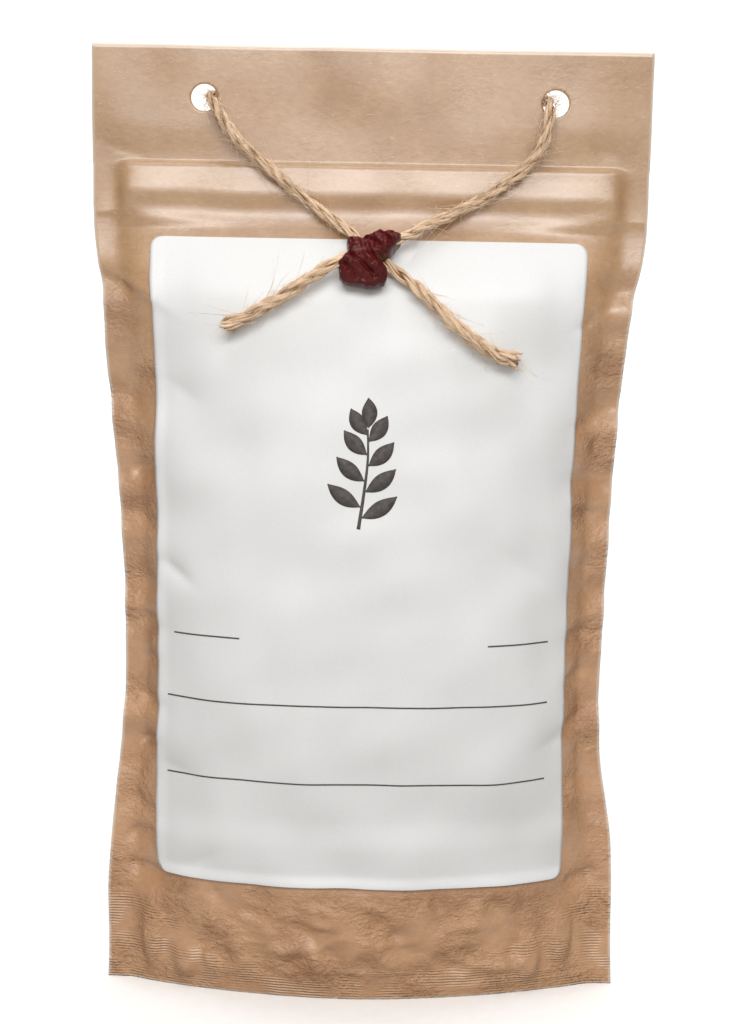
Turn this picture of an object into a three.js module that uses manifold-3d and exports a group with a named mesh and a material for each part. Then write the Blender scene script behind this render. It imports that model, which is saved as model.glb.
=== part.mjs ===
// Filled stand-up paper pouch with a label, a twine threaded through its header and a wax seal.
// Millimetres, +Z up. The pouch stands on the plane z = 0, centred on the origin, and its front faces -Y.

import * as THREE from 'three';
import { mergeVertices } from 'three/addons/utils/BufferGeometryUtils.js';
import Module from 'manifold-3d';

// Pouch: overall sizes and the drawn film
const POUCH_WIDTH = 130;
const POUCH_HEIGHT = 226;
const SIDE_SEAL = 6;
const FILM = 0.4;
const GAP = 0.3;
const OPEN_HALF_WIDTH = POUCH_WIDTH / 2 - SIDE_SEAL;

// Zip, closed
const ZIP_BOTTOM = 190;
const ZIP_TOP = 199;
const HEADER_FROM = 202;
const ZIP_LENGTH = 108;
const ZIP_FLANGE = 0.4;
const ZIP_FLANGE_BACK = 1.0;
const ZIP_CENTRE = 194.6;

// Half depth of the filled pouch at each height, from the base over the belly and the zip to the header
const DEPTH_HEIGHTS = [
  0, 14, 28, 45, 70, 95, 125, 150, 168, 178, 186, ZIP_BOTTOM, ZIP_TOP, HEADER_FROM, POUCH_HEIGHT,
];
const DEPTH_VALUES = [11.6, 14.6, 15.2, 16.2, 17.8, 17.6, 16.5, 14.0, 11.3, 6.8, 2.6, 1.3, 1.3, 0.2, 0.1];

// Roundness of the cross-section: low is a round curve, high is a flat front with tight edges
const BASE_POWER = 1.8;
const BELLY_POWER = 3.2;
const SHOULDER_POWER = 5.5;
const ZIP_POWER = 30;
const BELLY_FROM = 70;
const SHOULDER_FROM = 152;
const SHOULDER = 184;
const STEEPEST_WALL = 0.2;

// Bottom gusset: seal height at the middle and at the side seals
const GUSSET_SEAL = 6;
const GUSSET_RISE = 31;
const GUSSET_CURVE = 3;
const GUSSET_SAG = 0.85;
const GUSSET_ARCH = 1.42;
const GUSSET_PARTING = 0.7;
const PARTING_FROM = 38;
const PARTING_TO = 46;

// Punched header holes
const HOLE_DIAMETER = 6.2;
const HOLE_HEIGHT = 214;
const HOLE_LEFT = -39;
const HOLE_RIGHT = 42.5;

// Label
const LABEL_WIDTH = 101.6;
const LABEL_BOTTOM = 29.3;
const LABEL_TOP = 181.8;
const LABEL_THICKNESS = 0.25;
const LABEL_CORNER = 3;

// Root fill
const FILL_TOP = 158;
const FILL_HEAP = 9;
const FILL_CLEARANCE = 0.7;
const FILL_LIFT = 1.6;
const FILL_RELIEF = 1.5;
const FILL_SEED = 7;

// Twine route, from the free end at lower right, up through the left hole, across the back,
// out of the right hole and over the first strand to the free end at lower left
const TWINE_DIAMETER = 2.8;
const TWINE_SIDES = 8;
const TWINE_STEPS = 88;
const TWINE_ROUTE = [
  [34.6, -14.7, 155.0],
  [28.5, -16.1, 157.1],
  [20.8, -16.6, 162.5],
  [13.4, -15.0, 169.2],
  [8.3, -12.9, 173.4],
  [4.2, -11.0, 176.2],
  [0.2, -9.3, 179.3],
  [-3.1, -7.8, 182.4],
  [-7.5, -6.1, 185.8],
  [-12.0, -4.9, 188.7],
  [-16.4, -4.5, 192.0],
  [-24.9, -4.4, 199.0],
  [-31.6, -4.4, 205.0],
  [-34.6, -5.0, 209.2],
  [-36.8, -3.6, 212.8],
  [-37.7, 0.0, 214.5],
  [-37.3, 3.6, 214.8],
  [-35.0, 6.4, 214.6],
  [-31.0, 7.2, 214.0],
  [-20.0, 4.8, 213.0],
  [2.0, 3.0, 212.0],
  [24.0, 4.8, 213.0],
  [34.6, 7.2, 214.0],
  [38.6, 6.4, 214.6],
  [40.8, 3.6, 214.8],
  [41.2, 0.0, 214.5],
  [41.0, -3.6, 212.8],
  [40.6, -5.0, 209.2],
  [39.8, -4.6, 205.5],
  [38.2, -4.5, 202.0],
  [35.0, -4.6, 198.7],
  [30.7, -4.5, 195.2],
  [26.4, -4.7, 192.1],
  [21.1, -5.2, 189.3],
  [16.3, -6.4, 187.1],
  [12.3, -8.4, 185.2],
  [8.6, -10.4, 183.3],
  [5.0, -12.0, 181.9],
  [0.2, -13.2, 180.0],
  [-6.1, -14.3, 177.7],
  [-11.1, -15.3, 174.9],
  [-16.2, -16.1, 171.5],
  [-22.1, -16.3, 167.7],
  [-28.7, -15.5, 164.0],
  [-33.1, -14.4, 161.6],
];

// Wax seal: lobed outline seen from the front, and how far it swells each way
const WAX_CENTRE = [-0.3, -12.6, 177.6];
const WAX_TILT = THREE.MathUtils.degToRad(27);
const WAX_FRONT = 4.2;
const WAX_BACK = 3.2;
const WAX_ROUND_STEPS = 32;
const WAX_LATITUDES = 8;
const WAX_OUTLINE = [
  [2.6, -0.8],
  [5.5, 1.7],
  [7.3, 5.6],
  [4.4, 6.3],
  [1.8, 6.3],
  [-1.2, 4.6],
  [-4.8, 4.6],
  [-5.0, 1.2],
  [-6.8, -2.2],
  [-6.0, -5.4],
  [-2.8, -6.2],
  [0.6, -6.6],
  [3.8, -5.6],
  [4.2, -3.2],
];

const wasm = await Module();
wasm.setup();

const group = new THREE.Group();

function addPart(name, geometry, color, roughness) {
  const material = new THREE.MeshStandardMaterial({ color, roughness, metalness: 0 });
  const mesh = new THREE.Mesh(geometry, material);
  mesh.name = name;
  group.add(mesh);
  return mesh;
}

// Closed geometry from points and triangles, turned so that its faces point out
function closedGeometry(points, triangles) {
  let volume = 0;
  const normal = new THREE.Vector3();
  for (const [a, b, c] of triangles) {
    volume += points[a].dot(normal.crossVectors(points[b], points[c]));
  }
  const index = triangles.flatMap(([a, b, c]) => (volume < 0 ? [a, c, b] : [a, b, c]));
  const geometry = new THREE.BufferGeometry().setFromPoints(points);
  geometry.setIndex(index);
  geometry.computeVertexNormals();
  return geometry;
}

function quad(triangles, a, b, c, d) {
  triangles.push([a, b, c], [a, c, d]);
}

// Thin sheet between two grids of points with the same rows and columns
function sheetGeometry(outerRows, innerRows) {
  const rows = outerRows.length;
  const columns = outerRows[0].length;
  const points = [...outerRows.flat(), ...innerRows.flat()];
  const outer = (row, column) => row * columns + column;
  const inner = (row, column) => rows * columns + row * columns + column;
  const triangles = [];
  for (let row = 0; row < rows - 1; row += 1) {
    for (let column = 0; column < columns - 1; column += 1) {
      quad(triangles, outer(row, column), outer(row, column + 1), outer(row + 1, column + 1), outer(row + 1, column));
      quad(triangles, inner(row, column), inner(row + 1, column), inner(row + 1, column + 1), inner(row, column + 1));
    }
  }
  for (let column = 0; column < columns - 1; column += 1) {
    quad(triangles, inner(0, column), inner(0, column + 1), outer(0, column + 1), outer(0, column));
    const last = rows - 1;
    quad(triangles, outer(last, column), outer(last, column + 1), inner(last, column + 1), inner(last, column));
  }
  for (let row = 0; row < rows - 1; row += 1) {
    quad(triangles, outer(row, 0), outer(row + 1, 0), inner(row + 1, 0), inner(row, 0));
    const last = columns - 1;
    quad(triangles, inner(row, last), inner(row + 1, last), outer(row + 1, last), outer(row, last));
  }
  return closedGeometry(points, triangles);
}

// Solid through closed loops of points, each end closed by a fan about the middle of its loop
function loftGeometry(loops) {
  const size = loops[0].length;
  const points = loops.flat();
  const triangles = [];
  for (let loop = 0; loop < loops.length - 1; loop += 1) {
    for (let step = 0; step < size; step += 1) {
      const next = (step + 1) % size;
      const here = loop * size;
      quad(triangles, here + step, here + next, here + size + next, here + size + step);
    }
  }
  const cap = (start, turned) => {
    const middle = new THREE.Vector3();
    for (let step = 0; step < size; step += 1) {
      middle.addScaledVector(points[start + step], 1 / size);
    }
    points.push(middle);
    for (let step = 0; step < size; step += 1) {
      const next = (step + 1) % size;
      const pair = turned ? [start + next, start + step] : [start + step, start + next];
      triangles.push([points.length - 1, ...pair]);
    }
  };
  cap(0, true);
  cap((loops.length - 1) * size, false);
  return closedGeometry(points, triangles);
}

function toSolid(geometry) {
  const bare = geometry.clone();
  bare.deleteAttribute('normal');
  bare.deleteAttribute('uv');
  const merged = mergeVertices(bare, 1e-4);
  return new wasm.Manifold(new wasm.Mesh({
    numProp: 3,
    vertProperties: new Float32Array(merged.attributes.position.array),
    triVerts: new Uint32Array(merged.index.array),
  }));
}

function toGeometry(solid) {
  const mesh = solid.getMesh();
  const geometry = new THREE.BufferGeometry();
  geometry.setAttribute('position', new THREE.BufferAttribute(mesh.vertProperties, 3));
  geometry.setIndex(new THREE.BufferAttribute(mesh.triVerts, 1));
  geometry.computeVertexNormals();
  return geometry;
}

function subtract(geometry, cutters) {
  const solid = cutters.reduce((body, cutter) => body.subtract(toSolid(cutter)), toSolid(geometry));
  return toGeometry(solid);
}

// Shape of the filled pouch
const depthCurve = new THREE.CubicInterpolant(DEPTH_HEIGHTS, DEPTH_VALUES, 1, new Float64Array(1));

function halfDepth(z) {
  return depthCurve.evaluate(z)[0];
}

function sectionPower(z) {
  const belly = (BELLY_POWER - BASE_POWER) * THREE.MathUtils.smoothstep(z, 0, BELLY_FROM);
  const shoulder = (SHOULDER_POWER - BELLY_POWER) * THREE.MathUtils.smoothstep(z, SHOULDER_FROM, SHOULDER);
  const zip = (ZIP_POWER - SHOULDER_POWER) * THREE.MathUtils.smoothstep(z, SHOULDER, ZIP_BOTTOM);
  return BASE_POWER + belly + shoulder + zip;
}

// Half of the space between the two panels where they are sealed: the gusset folds between them low down
function halfParting(z) {
  return GAP / 2 + GUSSET_PARTING * (1 - THREE.MathUtils.smoothstep(z, PARTING_FROM, PARTING_TO));
}

// Inner face of a panel at height z and at a distance s along the film from its middle line:
// x across the pouch and the half depth y. The film keeps its length as it bulges, so the pouch narrows.
function panelPoint(s, z) {
  const depth = halfDepth(z);
  const power = sectionPower(z);
  const reach = Math.min(Math.abs(s), OPEN_HALF_WIDTH);
  const steps = 60;
  let x = Math.abs(s) - reach;
  for (let step = 0; step < steps; step += 1) {
    const t = ((step + 0.5) / steps) * (reach / OPEN_HALF_WIDTH);
    const slope = (depth * power * t ** (power - 1)) / OPEN_HALF_WIDTH;
    x += (reach / steps) * Math.sqrt(Math.max(1 - slope * slope, STEEPEST_WALL ** 2));
  }
  const y = halfParting(z) + depth * (1 - (reach / OPEN_HALF_WIDTH) ** power);
  return { x: Math.sign(s) * x, y };
}

function mirrored(halfList) {
  return [...halfList.slice(1).reverse().map((value) => -value), ...halfList];
}

const LABEL_EDGE = LABEL_WIDTH / 2;
const COLUMNS = mirrored([0, 9, 18, 27, 36, 44, LABEL_EDGE, 55.5, OPEN_HALF_WIDTH, POUCH_WIDTH / 2]);
const LABEL_ROWS = [
  LABEL_BOTTOM, PARTING_FROM, PARTING_TO, 62, 80, 98, 116, 134, 150, 161, 168, 173, 178, LABEL_TOP,
];
const ROWS = [0, 8, 16, ...LABEL_ROWS, 186, ZIP_BOTTOM, ZIP_TOP, HEADER_FROM, POUCH_HEIGHT];

// Grid of points on a panel, moved outwards from its inner face; side is -1 for the front, 1 for the back
function panelGrid(rows, columns, side, outwards) {
  return rows.map((z) => columns.map((s) => {
    const { x, y } = panelPoint(s, z);
    return new THREE.Vector3(x, side * (y + outwards), z);
  }));
}

function punch(x) {
  const geometry = new THREE.CylinderGeometry(HOLE_DIAMETER / 2, HOLE_DIAMETER / 2, 20, 24);
  return geometry.translate(x, 0, HOLE_HEIGHT);
}

function panelGeometry(side) {
  const sheet = sheetGeometry(panelGrid(ROWS, COLUMNS, side, FILM), panelGrid(ROWS, COLUMNS, side, 0));
  return subtract(sheet, [punch(HOLE_LEFT), punch(HOLE_RIGHT)]);
}

// Bottom gusset: sealed flat inside both panels up to a curved line, and pressed down between them by the fill
function gussetSeal(s) {
  const t = Math.min(Math.abs(s) / OPEN_HALF_WIDTH, 1);
  return GUSSET_SEAL + GUSSET_RISE * t ** GUSSET_CURVE;
}

function gussetHalfWidth(s, z) {
  return panelPoint(s, z).y - GAP - FILM / 2;
}

function gussetHeight(s, across) {
  const t = Math.min(Math.abs(s) / OPEN_HALF_WIDTH, 1);
  const seal = gussetSeal(s);
  const sag = gussetHalfWidth(s, seal) * (GUSSET_SAG - GUSSET_ARCH * t ** 8);
  return Math.max(seal - sag * (1 - across * across), FILM / 2);
}

function gussetLine(s) {
  const seal = gussetSeal(s);
  const flange = (z, side) => new THREE.Vector3(panelPoint(s, z).x, side * gussetHalfWidth(s, z), z);
  const sheet = (across) => new THREE.Vector3(
    panelPoint(s, seal).x,
    across * gussetHalfWidth(s, seal),
    gussetHeight(s, across),
  );
  const up = [0, seal / 3, (2 * seal) / 3, seal];
  const over = mirrored([0, 0.2, 0.4, 0.6, 0.8]);
  return [
    ...up.map((z) => flange(z, -1)),
    ...over.map(sheet),
    ...up.reverse().map((z) => flange(z, 1)),
  ];
}

function gussetGeometry() {
  const middle = COLUMNS.map(gussetLine);
  const normalAt = (row, column) => {
    const here = middle[row];
    const before = here[Math.max(column - 1, 0)];
    const after = here[Math.min(column + 1, here.length - 1)];
    const into = before.clone().sub(here[column]).normalize();
    const out = after.clone().sub(here[column]).normalize();
    const along = out.sub(into);
    return new THREE.Vector3(0, -along.z, along.y).normalize();
  };
  const offset = (amount) => middle.map((line, row) => line.map((point, column) => {
    const moved = point.clone().addScaledVector(normalAt(row, column), amount);
    if (column === 0 || column === line.length - 1) {
      moved.z = 0;
    }
    return moved;
  }));
  return sheetGeometry(offset(-FILM / 2), offset(FILM / 2));
}

// Zip strips: sections in (y, z) about the zip's own centre, drawn from the front strip to the back strip
function zipStrip(outline) {
  const shape = new THREE.Shape(outline.map(([y, z]) => new THREE.Vector2(y, z)));
  const geometry = new THREE.ExtrudeGeometry(shape, { depth: ZIP_LENGTH, bevelEnabled: false, steps: 1 });
  const axes = new THREE.Matrix4().makeBasis(
    new THREE.Vector3(0, 1, 0),
    new THREE.Vector3(0, 0, 1),
    new THREE.Vector3(1, 0, 0),
  );
  return geometry.applyMatrix4(axes).translate(-ZIP_LENGTH / 2, 0, ZIP_CENTRE);
}

function zipOutlines() {
  const low = ZIP_BOTTOM + 1 - ZIP_CENTRE;
  const high = ZIP_TOP - 1 - ZIP_CENTRE;
  const back = ZIP_FLANGE_BACK;
  const face = ZIP_FLANGE_BACK - ZIP_FLANGE;
  const groove = [
    [-back, low], [-face, low], [-face, -1.9], [0.25, -1.9], [0.25, -0.7], [-0.1, -0.7], [-0.1, -1.2],
    [-face, -1.2], [-face, 1.2], [-0.1, 1.2], [-0.1, 0.7], [0.25, 0.7], [0.25, 1.9], [-face, 1.9],
    [-face, high], [-back, high],
  ];
  const rib = [
    [back, low], [back, high], [face, high], [face, 0.35], [-0.15, 0.35], [-0.15, 0.75], [-0.4, 0.75],
    [-0.4, -0.75], [-0.15, -0.75], [-0.15, -0.35], [face, -0.35], [face, low],
  ];
  return { groove, rib };
}

// Label: thin sheet over the front panel with rounded corners
function cornerCutter(x, z, sideX, sideZ) {
  const r = LABEL_CORNER;
  const over = 1;
  const shape = new THREE.Shape();
  shape.moveTo(over, over);
  shape.lineTo(-r, over);
  shape.lineTo(-r, 0);
  shape.absarc(-r, -r, r, Math.PI / 2, 0, true);
  shape.lineTo(over, -r);
  const depth = 2 * POUCH_WIDTH;
  const geometry = new THREE.ExtrudeGeometry(shape, { depth, bevelEnabled: false, steps: 1, curveSegments: 4 });
  geometry.translate(0, 0, -depth / 2);
  geometry.rotateX(Math.PI / 2);
  geometry.rotateY(sideX > 0 ? 0 : Math.PI);
  if (sideZ < 0) {
    geometry.rotateX(Math.PI);
  }
  return geometry.translate(x, 0, z);
}

function labelGeometry() {
  const columns = COLUMNS.filter((s) => Math.abs(s) <= LABEL_EDGE);
  const inner = panelGrid(LABEL_ROWS, columns, -1, FILM + GAP);
  const outer = panelGrid(LABEL_ROWS, columns, -1, FILM + GAP + LABEL_THICKNESS);
  const cutters = [];
  for (const sideX of [-1, 1]) {
    for (const [z, sideZ] of [[LABEL_BOTTOM, -1], [LABEL_TOP, 1]]) {
      cutters.push(cornerCutter(panelPoint(sideX * LABEL_EDGE, z).x, z, sideX, sideZ));
    }
  }
  return subtract(sheetGeometry(outer, inner), cutters);
}

// Fill: lumpy mass of cut root between the panels, resting on the gusset
function randomStream(seed) {
  let state = seed;
  return () => {
    state = (state * 16807) % 2147483647;
    return state / 2147483647;
  };
}

function fillGeometry() {
  const random = randomStream(FILL_SEED);
  const columns = mirrored([0, 6, 12, 18, 24, 30, 36, 41, 46, 50, 53]);
  const levels = 26;
  const over = mirrored([0, 0.35, 0.7]);
  const loops = columns.map((s) => {
    const low = gussetSeal(s) + FILL_LIFT;
    const edge = 1 - (s / OPEN_HALF_WIDTH) ** 2;
    const high = FILL_TOP + FILL_HEAP * edge;
    const wall = (z) => Math.max(panelPoint(s, z).y - FILL_CLEARANCE - FILL_RELIEF * edge * random(), 0.4);
    const skin = (side) => Array.from({ length: levels + 1 }, (_, level) => {
      const z = low + ((high - low) * level) / levels;
      return new THREE.Vector3(panelPoint(s, z).x, side * wall(z), z);
    });
    const front = skin(-1);
    const back = skin(1);
    const top = over.map((across) => new THREE.Vector3(
      panelPoint(s, high).x,
      across * panelPoint(s, high).y * 0.8,
      high + FILL_RELIEF * edge * (1 - across * across) * random(),
    ));
    const bottom = over.map((across) => new THREE.Vector3(
      panelPoint(s, low).x,
      across * gussetHalfWidth(s, gussetSeal(s)),
      gussetHeight(s, across) + FILL_LIFT,
    ));
    return [...front, ...top, ...back.reverse(), ...bottom.reverse()];
  });
  return loftGeometry(loops);
}

// Twine and the wax seal over its crossing
function twineGeometry(diameter) {
  const route = new THREE.CatmullRomCurve3(TWINE_ROUTE.map((point) => new THREE.Vector3(...point)));
  const corners = Array.from({ length: TWINE_SIDES }, (_, corner) => {
    const angle = (2 * Math.PI * corner) / TWINE_SIDES;
    return new THREE.Vector2((diameter / 2) * Math.cos(angle), (diameter / 2) * Math.sin(angle));
  });
  return new THREE.ExtrudeGeometry(new THREE.Shape(corners), {
    extrudePath: route,
    steps: TWINE_STEPS,
    bevelEnabled: false,
  });
}

function waxBlob() {
  const outline = new THREE.CatmullRomCurve3(WAX_OUTLINE.map(([x, z]) => new THREE.Vector3(x, 0, z)), true);
  const rim = outline.getSpacedPoints(WAX_ROUND_STEPS).slice(0, -1);
  const loops = [];
  for (let latitude = 1; latitude < WAX_LATITUDES; latitude += 1) {
    const angle = Math.PI * (latitude / WAX_LATITUDES - 0.5);
    const swell = Math.sin(angle) * (angle < 0 ? WAX_FRONT : WAX_BACK);
    const shrink = Math.cos(angle) ** 0.7;
    loops.push(rim.map((point) => new THREE.Vector3(point.x * shrink, swell, point.z * shrink)));
  }
  return loftGeometry(loops).rotateX(-WAX_TILT).translate(...WAX_CENTRE);
}

const KRAFT = 0xb8916d;
const { groove, rib } = zipOutlines();

addPart('pouch_front_panel', panelGeometry(-1), KRAFT, 0.85);
addPart('pouch_back_panel', panelGeometry(1), KRAFT, 0.85);
addPart('bottom_gusset', gussetGeometry(), KRAFT, 0.85);
addPart('zip_groove_strip', zipStrip(groove), 0xe8e6e0, 0.4);
addPart('zip_rib_strip', zipStrip(rib), 0xe8e6e0, 0.4);
addPart('root_fill', fillGeometry(), 0xa98a4f, 0.95);
addPart('label', labelGeometry(), 0xe8e8e4, 0.6);
addPart('twine', twineGeometry(TWINE_DIAMETER), 0xcdb48f, 0.95);
addPart('wax_seal', subtract(waxBlob(), [twineGeometry(TWINE_DIAMETER + 2 * GAP)]), 0x591d1c, 0.35);

export default group;
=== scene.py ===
import math
import bpy
import numpy as np
from mathutils import Matrix, Vector


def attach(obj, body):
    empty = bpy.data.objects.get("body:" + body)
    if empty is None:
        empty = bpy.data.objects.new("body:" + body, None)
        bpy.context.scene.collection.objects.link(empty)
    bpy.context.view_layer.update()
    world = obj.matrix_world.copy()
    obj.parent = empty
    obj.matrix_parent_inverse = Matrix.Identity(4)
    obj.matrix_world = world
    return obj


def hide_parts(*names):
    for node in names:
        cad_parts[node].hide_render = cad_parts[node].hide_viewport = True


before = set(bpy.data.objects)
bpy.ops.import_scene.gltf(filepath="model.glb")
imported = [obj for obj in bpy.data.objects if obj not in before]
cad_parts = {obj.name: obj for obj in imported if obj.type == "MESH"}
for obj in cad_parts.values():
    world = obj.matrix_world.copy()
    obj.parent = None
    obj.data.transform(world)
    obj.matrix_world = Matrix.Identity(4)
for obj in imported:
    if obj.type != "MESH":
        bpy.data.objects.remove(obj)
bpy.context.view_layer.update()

MM = 0.001


# Camera
# It stands 0.45 m from the pouch, looks down on it by nine degrees and is tipped slightly anticlockwise,
# so that the pouch leans a degree clockwise in the frame.
CAMERA_TARGET = Vector((1.57 * MM, 0.0, 117.45 * MM))
CAMERA_DISTANCE = 450 * MM
CAMERA_ELEVATION = math.radians(8.58)
CAMERA_AZIMUTH = math.radians(-0.3)
CAMERA_ROLL = math.radians(1.04)
CAMERA_SENSOR = 36.0
CAMERA_LENS = 65.96

back = Vector((
    math.sin(CAMERA_AZIMUTH) * math.cos(CAMERA_ELEVATION),
    -math.cos(CAMERA_AZIMUTH) * math.cos(CAMERA_ELEVATION),
    math.sin(CAMERA_ELEVATION),
))
level_right = Vector((math.cos(CAMERA_AZIMUTH), math.sin(CAMERA_AZIMUTH), 0.0))
level_up = back.cross(level_right)
right = level_right * math.cos(CAMERA_ROLL) + level_up * math.sin(CAMERA_ROLL)
up = back.cross(right)
camera_data = bpy.data.cameras.new("camera")
camera_data.sensor_width = CAMERA_SENSOR
camera_data.lens = CAMERA_LENS
camera = bpy.data.objects.new("camera", camera_data)
bpy.context.collection.objects.link(camera)
camera.matrix_world = Matrix.Translation(CAMERA_TARGET + back * CAMERA_DISTANCE) @ Matrix((
    (right.x, up.x, back.x, 0.0),
    (right.y, up.y, back.y, 0.0),
    (right.z, up.z, back.z, 0.0),
    (0.0, 0.0, 0.0, 1.0),
))
bpy.context.scene.camera = camera


# Twine
# One length of natural jute: three hairy plies twisted together, cut at both ends. It runs from a free tail
# under the wax to the left hole, behind the header to the right hole, and over itself to the second tail.
TWINE_ROUTE = MM * np.array([
    (34.6, -14.7, 155.0), (28.5, -16.1, 157.1), (20.8, -16.6, 162.5), (13.4, -15.0, 169.2),
    (8.3, -12.9, 173.4), (4.2, -11.0, 176.2), (0.2, -9.3, 179.3), (-3.1, -7.8, 182.4),
    (-7.5, -6.1, 185.8), (-12.0, -4.9, 188.7), (-16.4, -4.5, 192.0), (-24.9, -4.4, 199.0),
    (-31.6, -4.4, 205.0), (-34.6, -5.0, 209.2), (-36.8, -3.6, 212.8), (-37.7, 0.0, 214.5),
    (-37.3, 3.6, 214.8), (-35.0, 6.4, 214.6), (-31.0, 7.2, 214.0), (-20.0, 4.8, 213.0),
    (2.0, 3.0, 212.0), (24.0, 4.8, 213.0), (34.6, 7.2, 214.0), (38.6, 6.4, 214.6), (40.8, 3.6, 214.8),
    (41.2, 0.0, 214.5), (41.0, -3.6, 212.8), (40.6, -5.0, 209.2), (39.8, -4.6, 205.5),
    (38.2, -4.5, 202.0), (35.0, -4.6, 198.7), (30.7, -4.5, 195.2), (26.4, -4.7, 192.1),
    (21.1, -5.2, 189.3), (16.3, -6.4, 187.1), (12.3, -8.4, 185.2), (8.6, -10.4, 183.3),
    (5.0, -12.0, 181.9), (0.2, -13.2, 180.0), (-6.1, -14.3, 177.7), (-11.1, -15.3, 174.9),
    (-16.2, -16.1, 171.5), (-22.1, -16.3, 167.7), (-28.7, -15.5, 164.0), (-33.1, -14.4, 161.6),
])
TWINE_STEP = 0.4 * MM
TWINE_PITCH = 15 * MM
PLY_COUNT = 3
PLY_OFFSET = 0.6 * MM
BUNDLE_COUNT = 6
BUNDLE_SIDES = 6
BUNDLE_OFFSET = 0.42 * MM
BUNDLE_RADIUS = 0.35 * MM
BUNDLE_TWIST = 34 * MM
PLY_TURN_SWAY, PLY_LIFT_SWAY = (0.35, 40), (0.12, 50)
BUNDLE_TURN_SWAY, BUNDLE_LIFT_SWAY, BUNDLE_SIZE_SWAY = (0.5, 60), (0.22, 70), (0.16, 90)
GRAIN_PACE, GRAIN_SHIFT = 0.09, 20
TAIL_LENGTH, TAIL_LOOSENING = 46 * MM, 0.16
FRAY_LENGTH, FRAY_SPREAD, FRAY_RANGE = 9 * MM, 0.6, (0.2, 2.2)
CUT_TAPER, CUT_STAGGER = 0.7 * MM, (-0.5 * MM, 1.6 * MM)
CUT_THIN, CUT_DEPTH = 0.06, 0.9
HOLE_POINTS = (15, 25)
HOLE_SQUEEZE, HOLE_REACH = 0.22, 5 * MM
WAX_CENTRE = np.array([-0.3, -12.6, 177.6]) * MM
WAX_REACH = 9.3 * MM
FIBRE_COUNT, FIBRE_RINGS, FIBRE_SIDES = 2400, 7, 3
FIBRE_RADIUS = 0.06 * MM
FIBRE_SHORTEST, FIBRE_LENGTHS = 0.9 * MM, (1.1, 1.7 * MM)
FIBRE_LEAVE, FIBRE_BEND = (1.2, 3.2), (0.3, 0.9)
FIBRE_ROOM, FIBRE_SHARE = 0.7 * MM, 0.7
FIBRE_BACKWARDS = 0.35
CURVE_STEPS = 40


def smooth_curve(points, step):
    """Centripetal Catmull-Rom curve through the points, then spaced evenly along its own length.

    Each span is a cubic whose end slopes come from the two neighbours on either side, weighted by the square
    roots of the distances between them. The ends are carried on in a straight line.
    """
    ends = np.vstack([2 * points[:1] - points[1:2], points, 2 * points[-1:] - points[-2:-1]])
    p0, p1, p2, p3 = ends[:-3], ends[1:-2], ends[2:-1], ends[3:]
    k0, k1, k2 = (np.sqrt(np.linalg.norm(b - a, axis=1))[:, None] for a, b in ((p0, p1), (p1, p2), (p2, p3)))
    slope1 = k1 * ((p1 - p0) / k0 - (p2 - p0) / (k0 + k1) + (p2 - p1) / k1)
    slope2 = k1 * ((p2 - p1) / k1 - (p3 - p1) / (k1 + k2) + (p3 - p2) / k2)
    u = np.linspace(0, 1, CURVE_STEPS, endpoint=False)[None, :, None]
    p1, p2, slope1, slope2 = (a[:, None] for a in (p1, p2, slope1, slope2))
    curve = p1 + u * slope1 + u**2 * (3 * (p2 - p1) - 2 * slope1 - slope2)
    curve = curve + u**3 * (2 * (p1 - p2) + slope1 + slope2)
    curve = np.vstack([curve.reshape(-1, 3), points[-1:]])
    along = np.concatenate([[0], np.cumsum(np.linalg.norm(np.diff(curve, axis=0), axis=1))])
    even = np.linspace(0, along[-1], int(along[-1] / step) + 1)
    return np.stack([np.interp(even, along, curve[:, axis]) for axis in range(3)], axis=1), even


def unit(vectors):
    """Vectors divided by their own lengths."""
    return vectors / np.maximum(np.linalg.norm(vectors, axis=-1, keepdims=True), 1e-12)


def untwisted_frames(curve):
    """Two normals along a curve that turn with it and don't spin about it.

    A first pair comes from a fixed direction; the spin it picks up between points is summed and turned back.
    """
    tangent = unit(np.gradient(curve, axis=0))
    first = unit(np.cross(tangent, np.array([0.35, 0.2, 1.0])))
    second = np.cross(tangent, first)
    spin = np.sum((first[1:] - first[:-1]) * (second[1:] + second[:-1]) / 2, axis=1)
    angle = -np.concatenate([[0], np.cumsum(spin)])[:, None]
    return (
        np.cos(angle) * first + np.sin(angle) * second,
        np.cos(angle) * second - np.sin(angle) * first,
        tangent,
    )


def tube_faces(rings, sides, start=0):
    """Quads of a closed tube of rings, with a triangle fan at each end about two added middle points."""
    ring, side = np.meshgrid(np.arange(rings - 1), np.arange(sides), indexing="ij")
    a = start + ring * sides + side
    b = start + ring * sides + (side + 1) % sides
    quads = np.stack([a, b, b + sides, a + sides], axis=-1).reshape(-1, 4)
    step = np.arange(sides)
    first, last = start + rings * sides, start + rings * sides + 1
    low = np.stack([np.full(sides, first), start + (step + 1) % sides, start + step], axis=-1)
    end = start + (rings - 1) * sides
    high = np.stack([np.full(sides, last), end + step, end + (step + 1) % sides], axis=-1)
    return quads, np.vstack([low, high])


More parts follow.
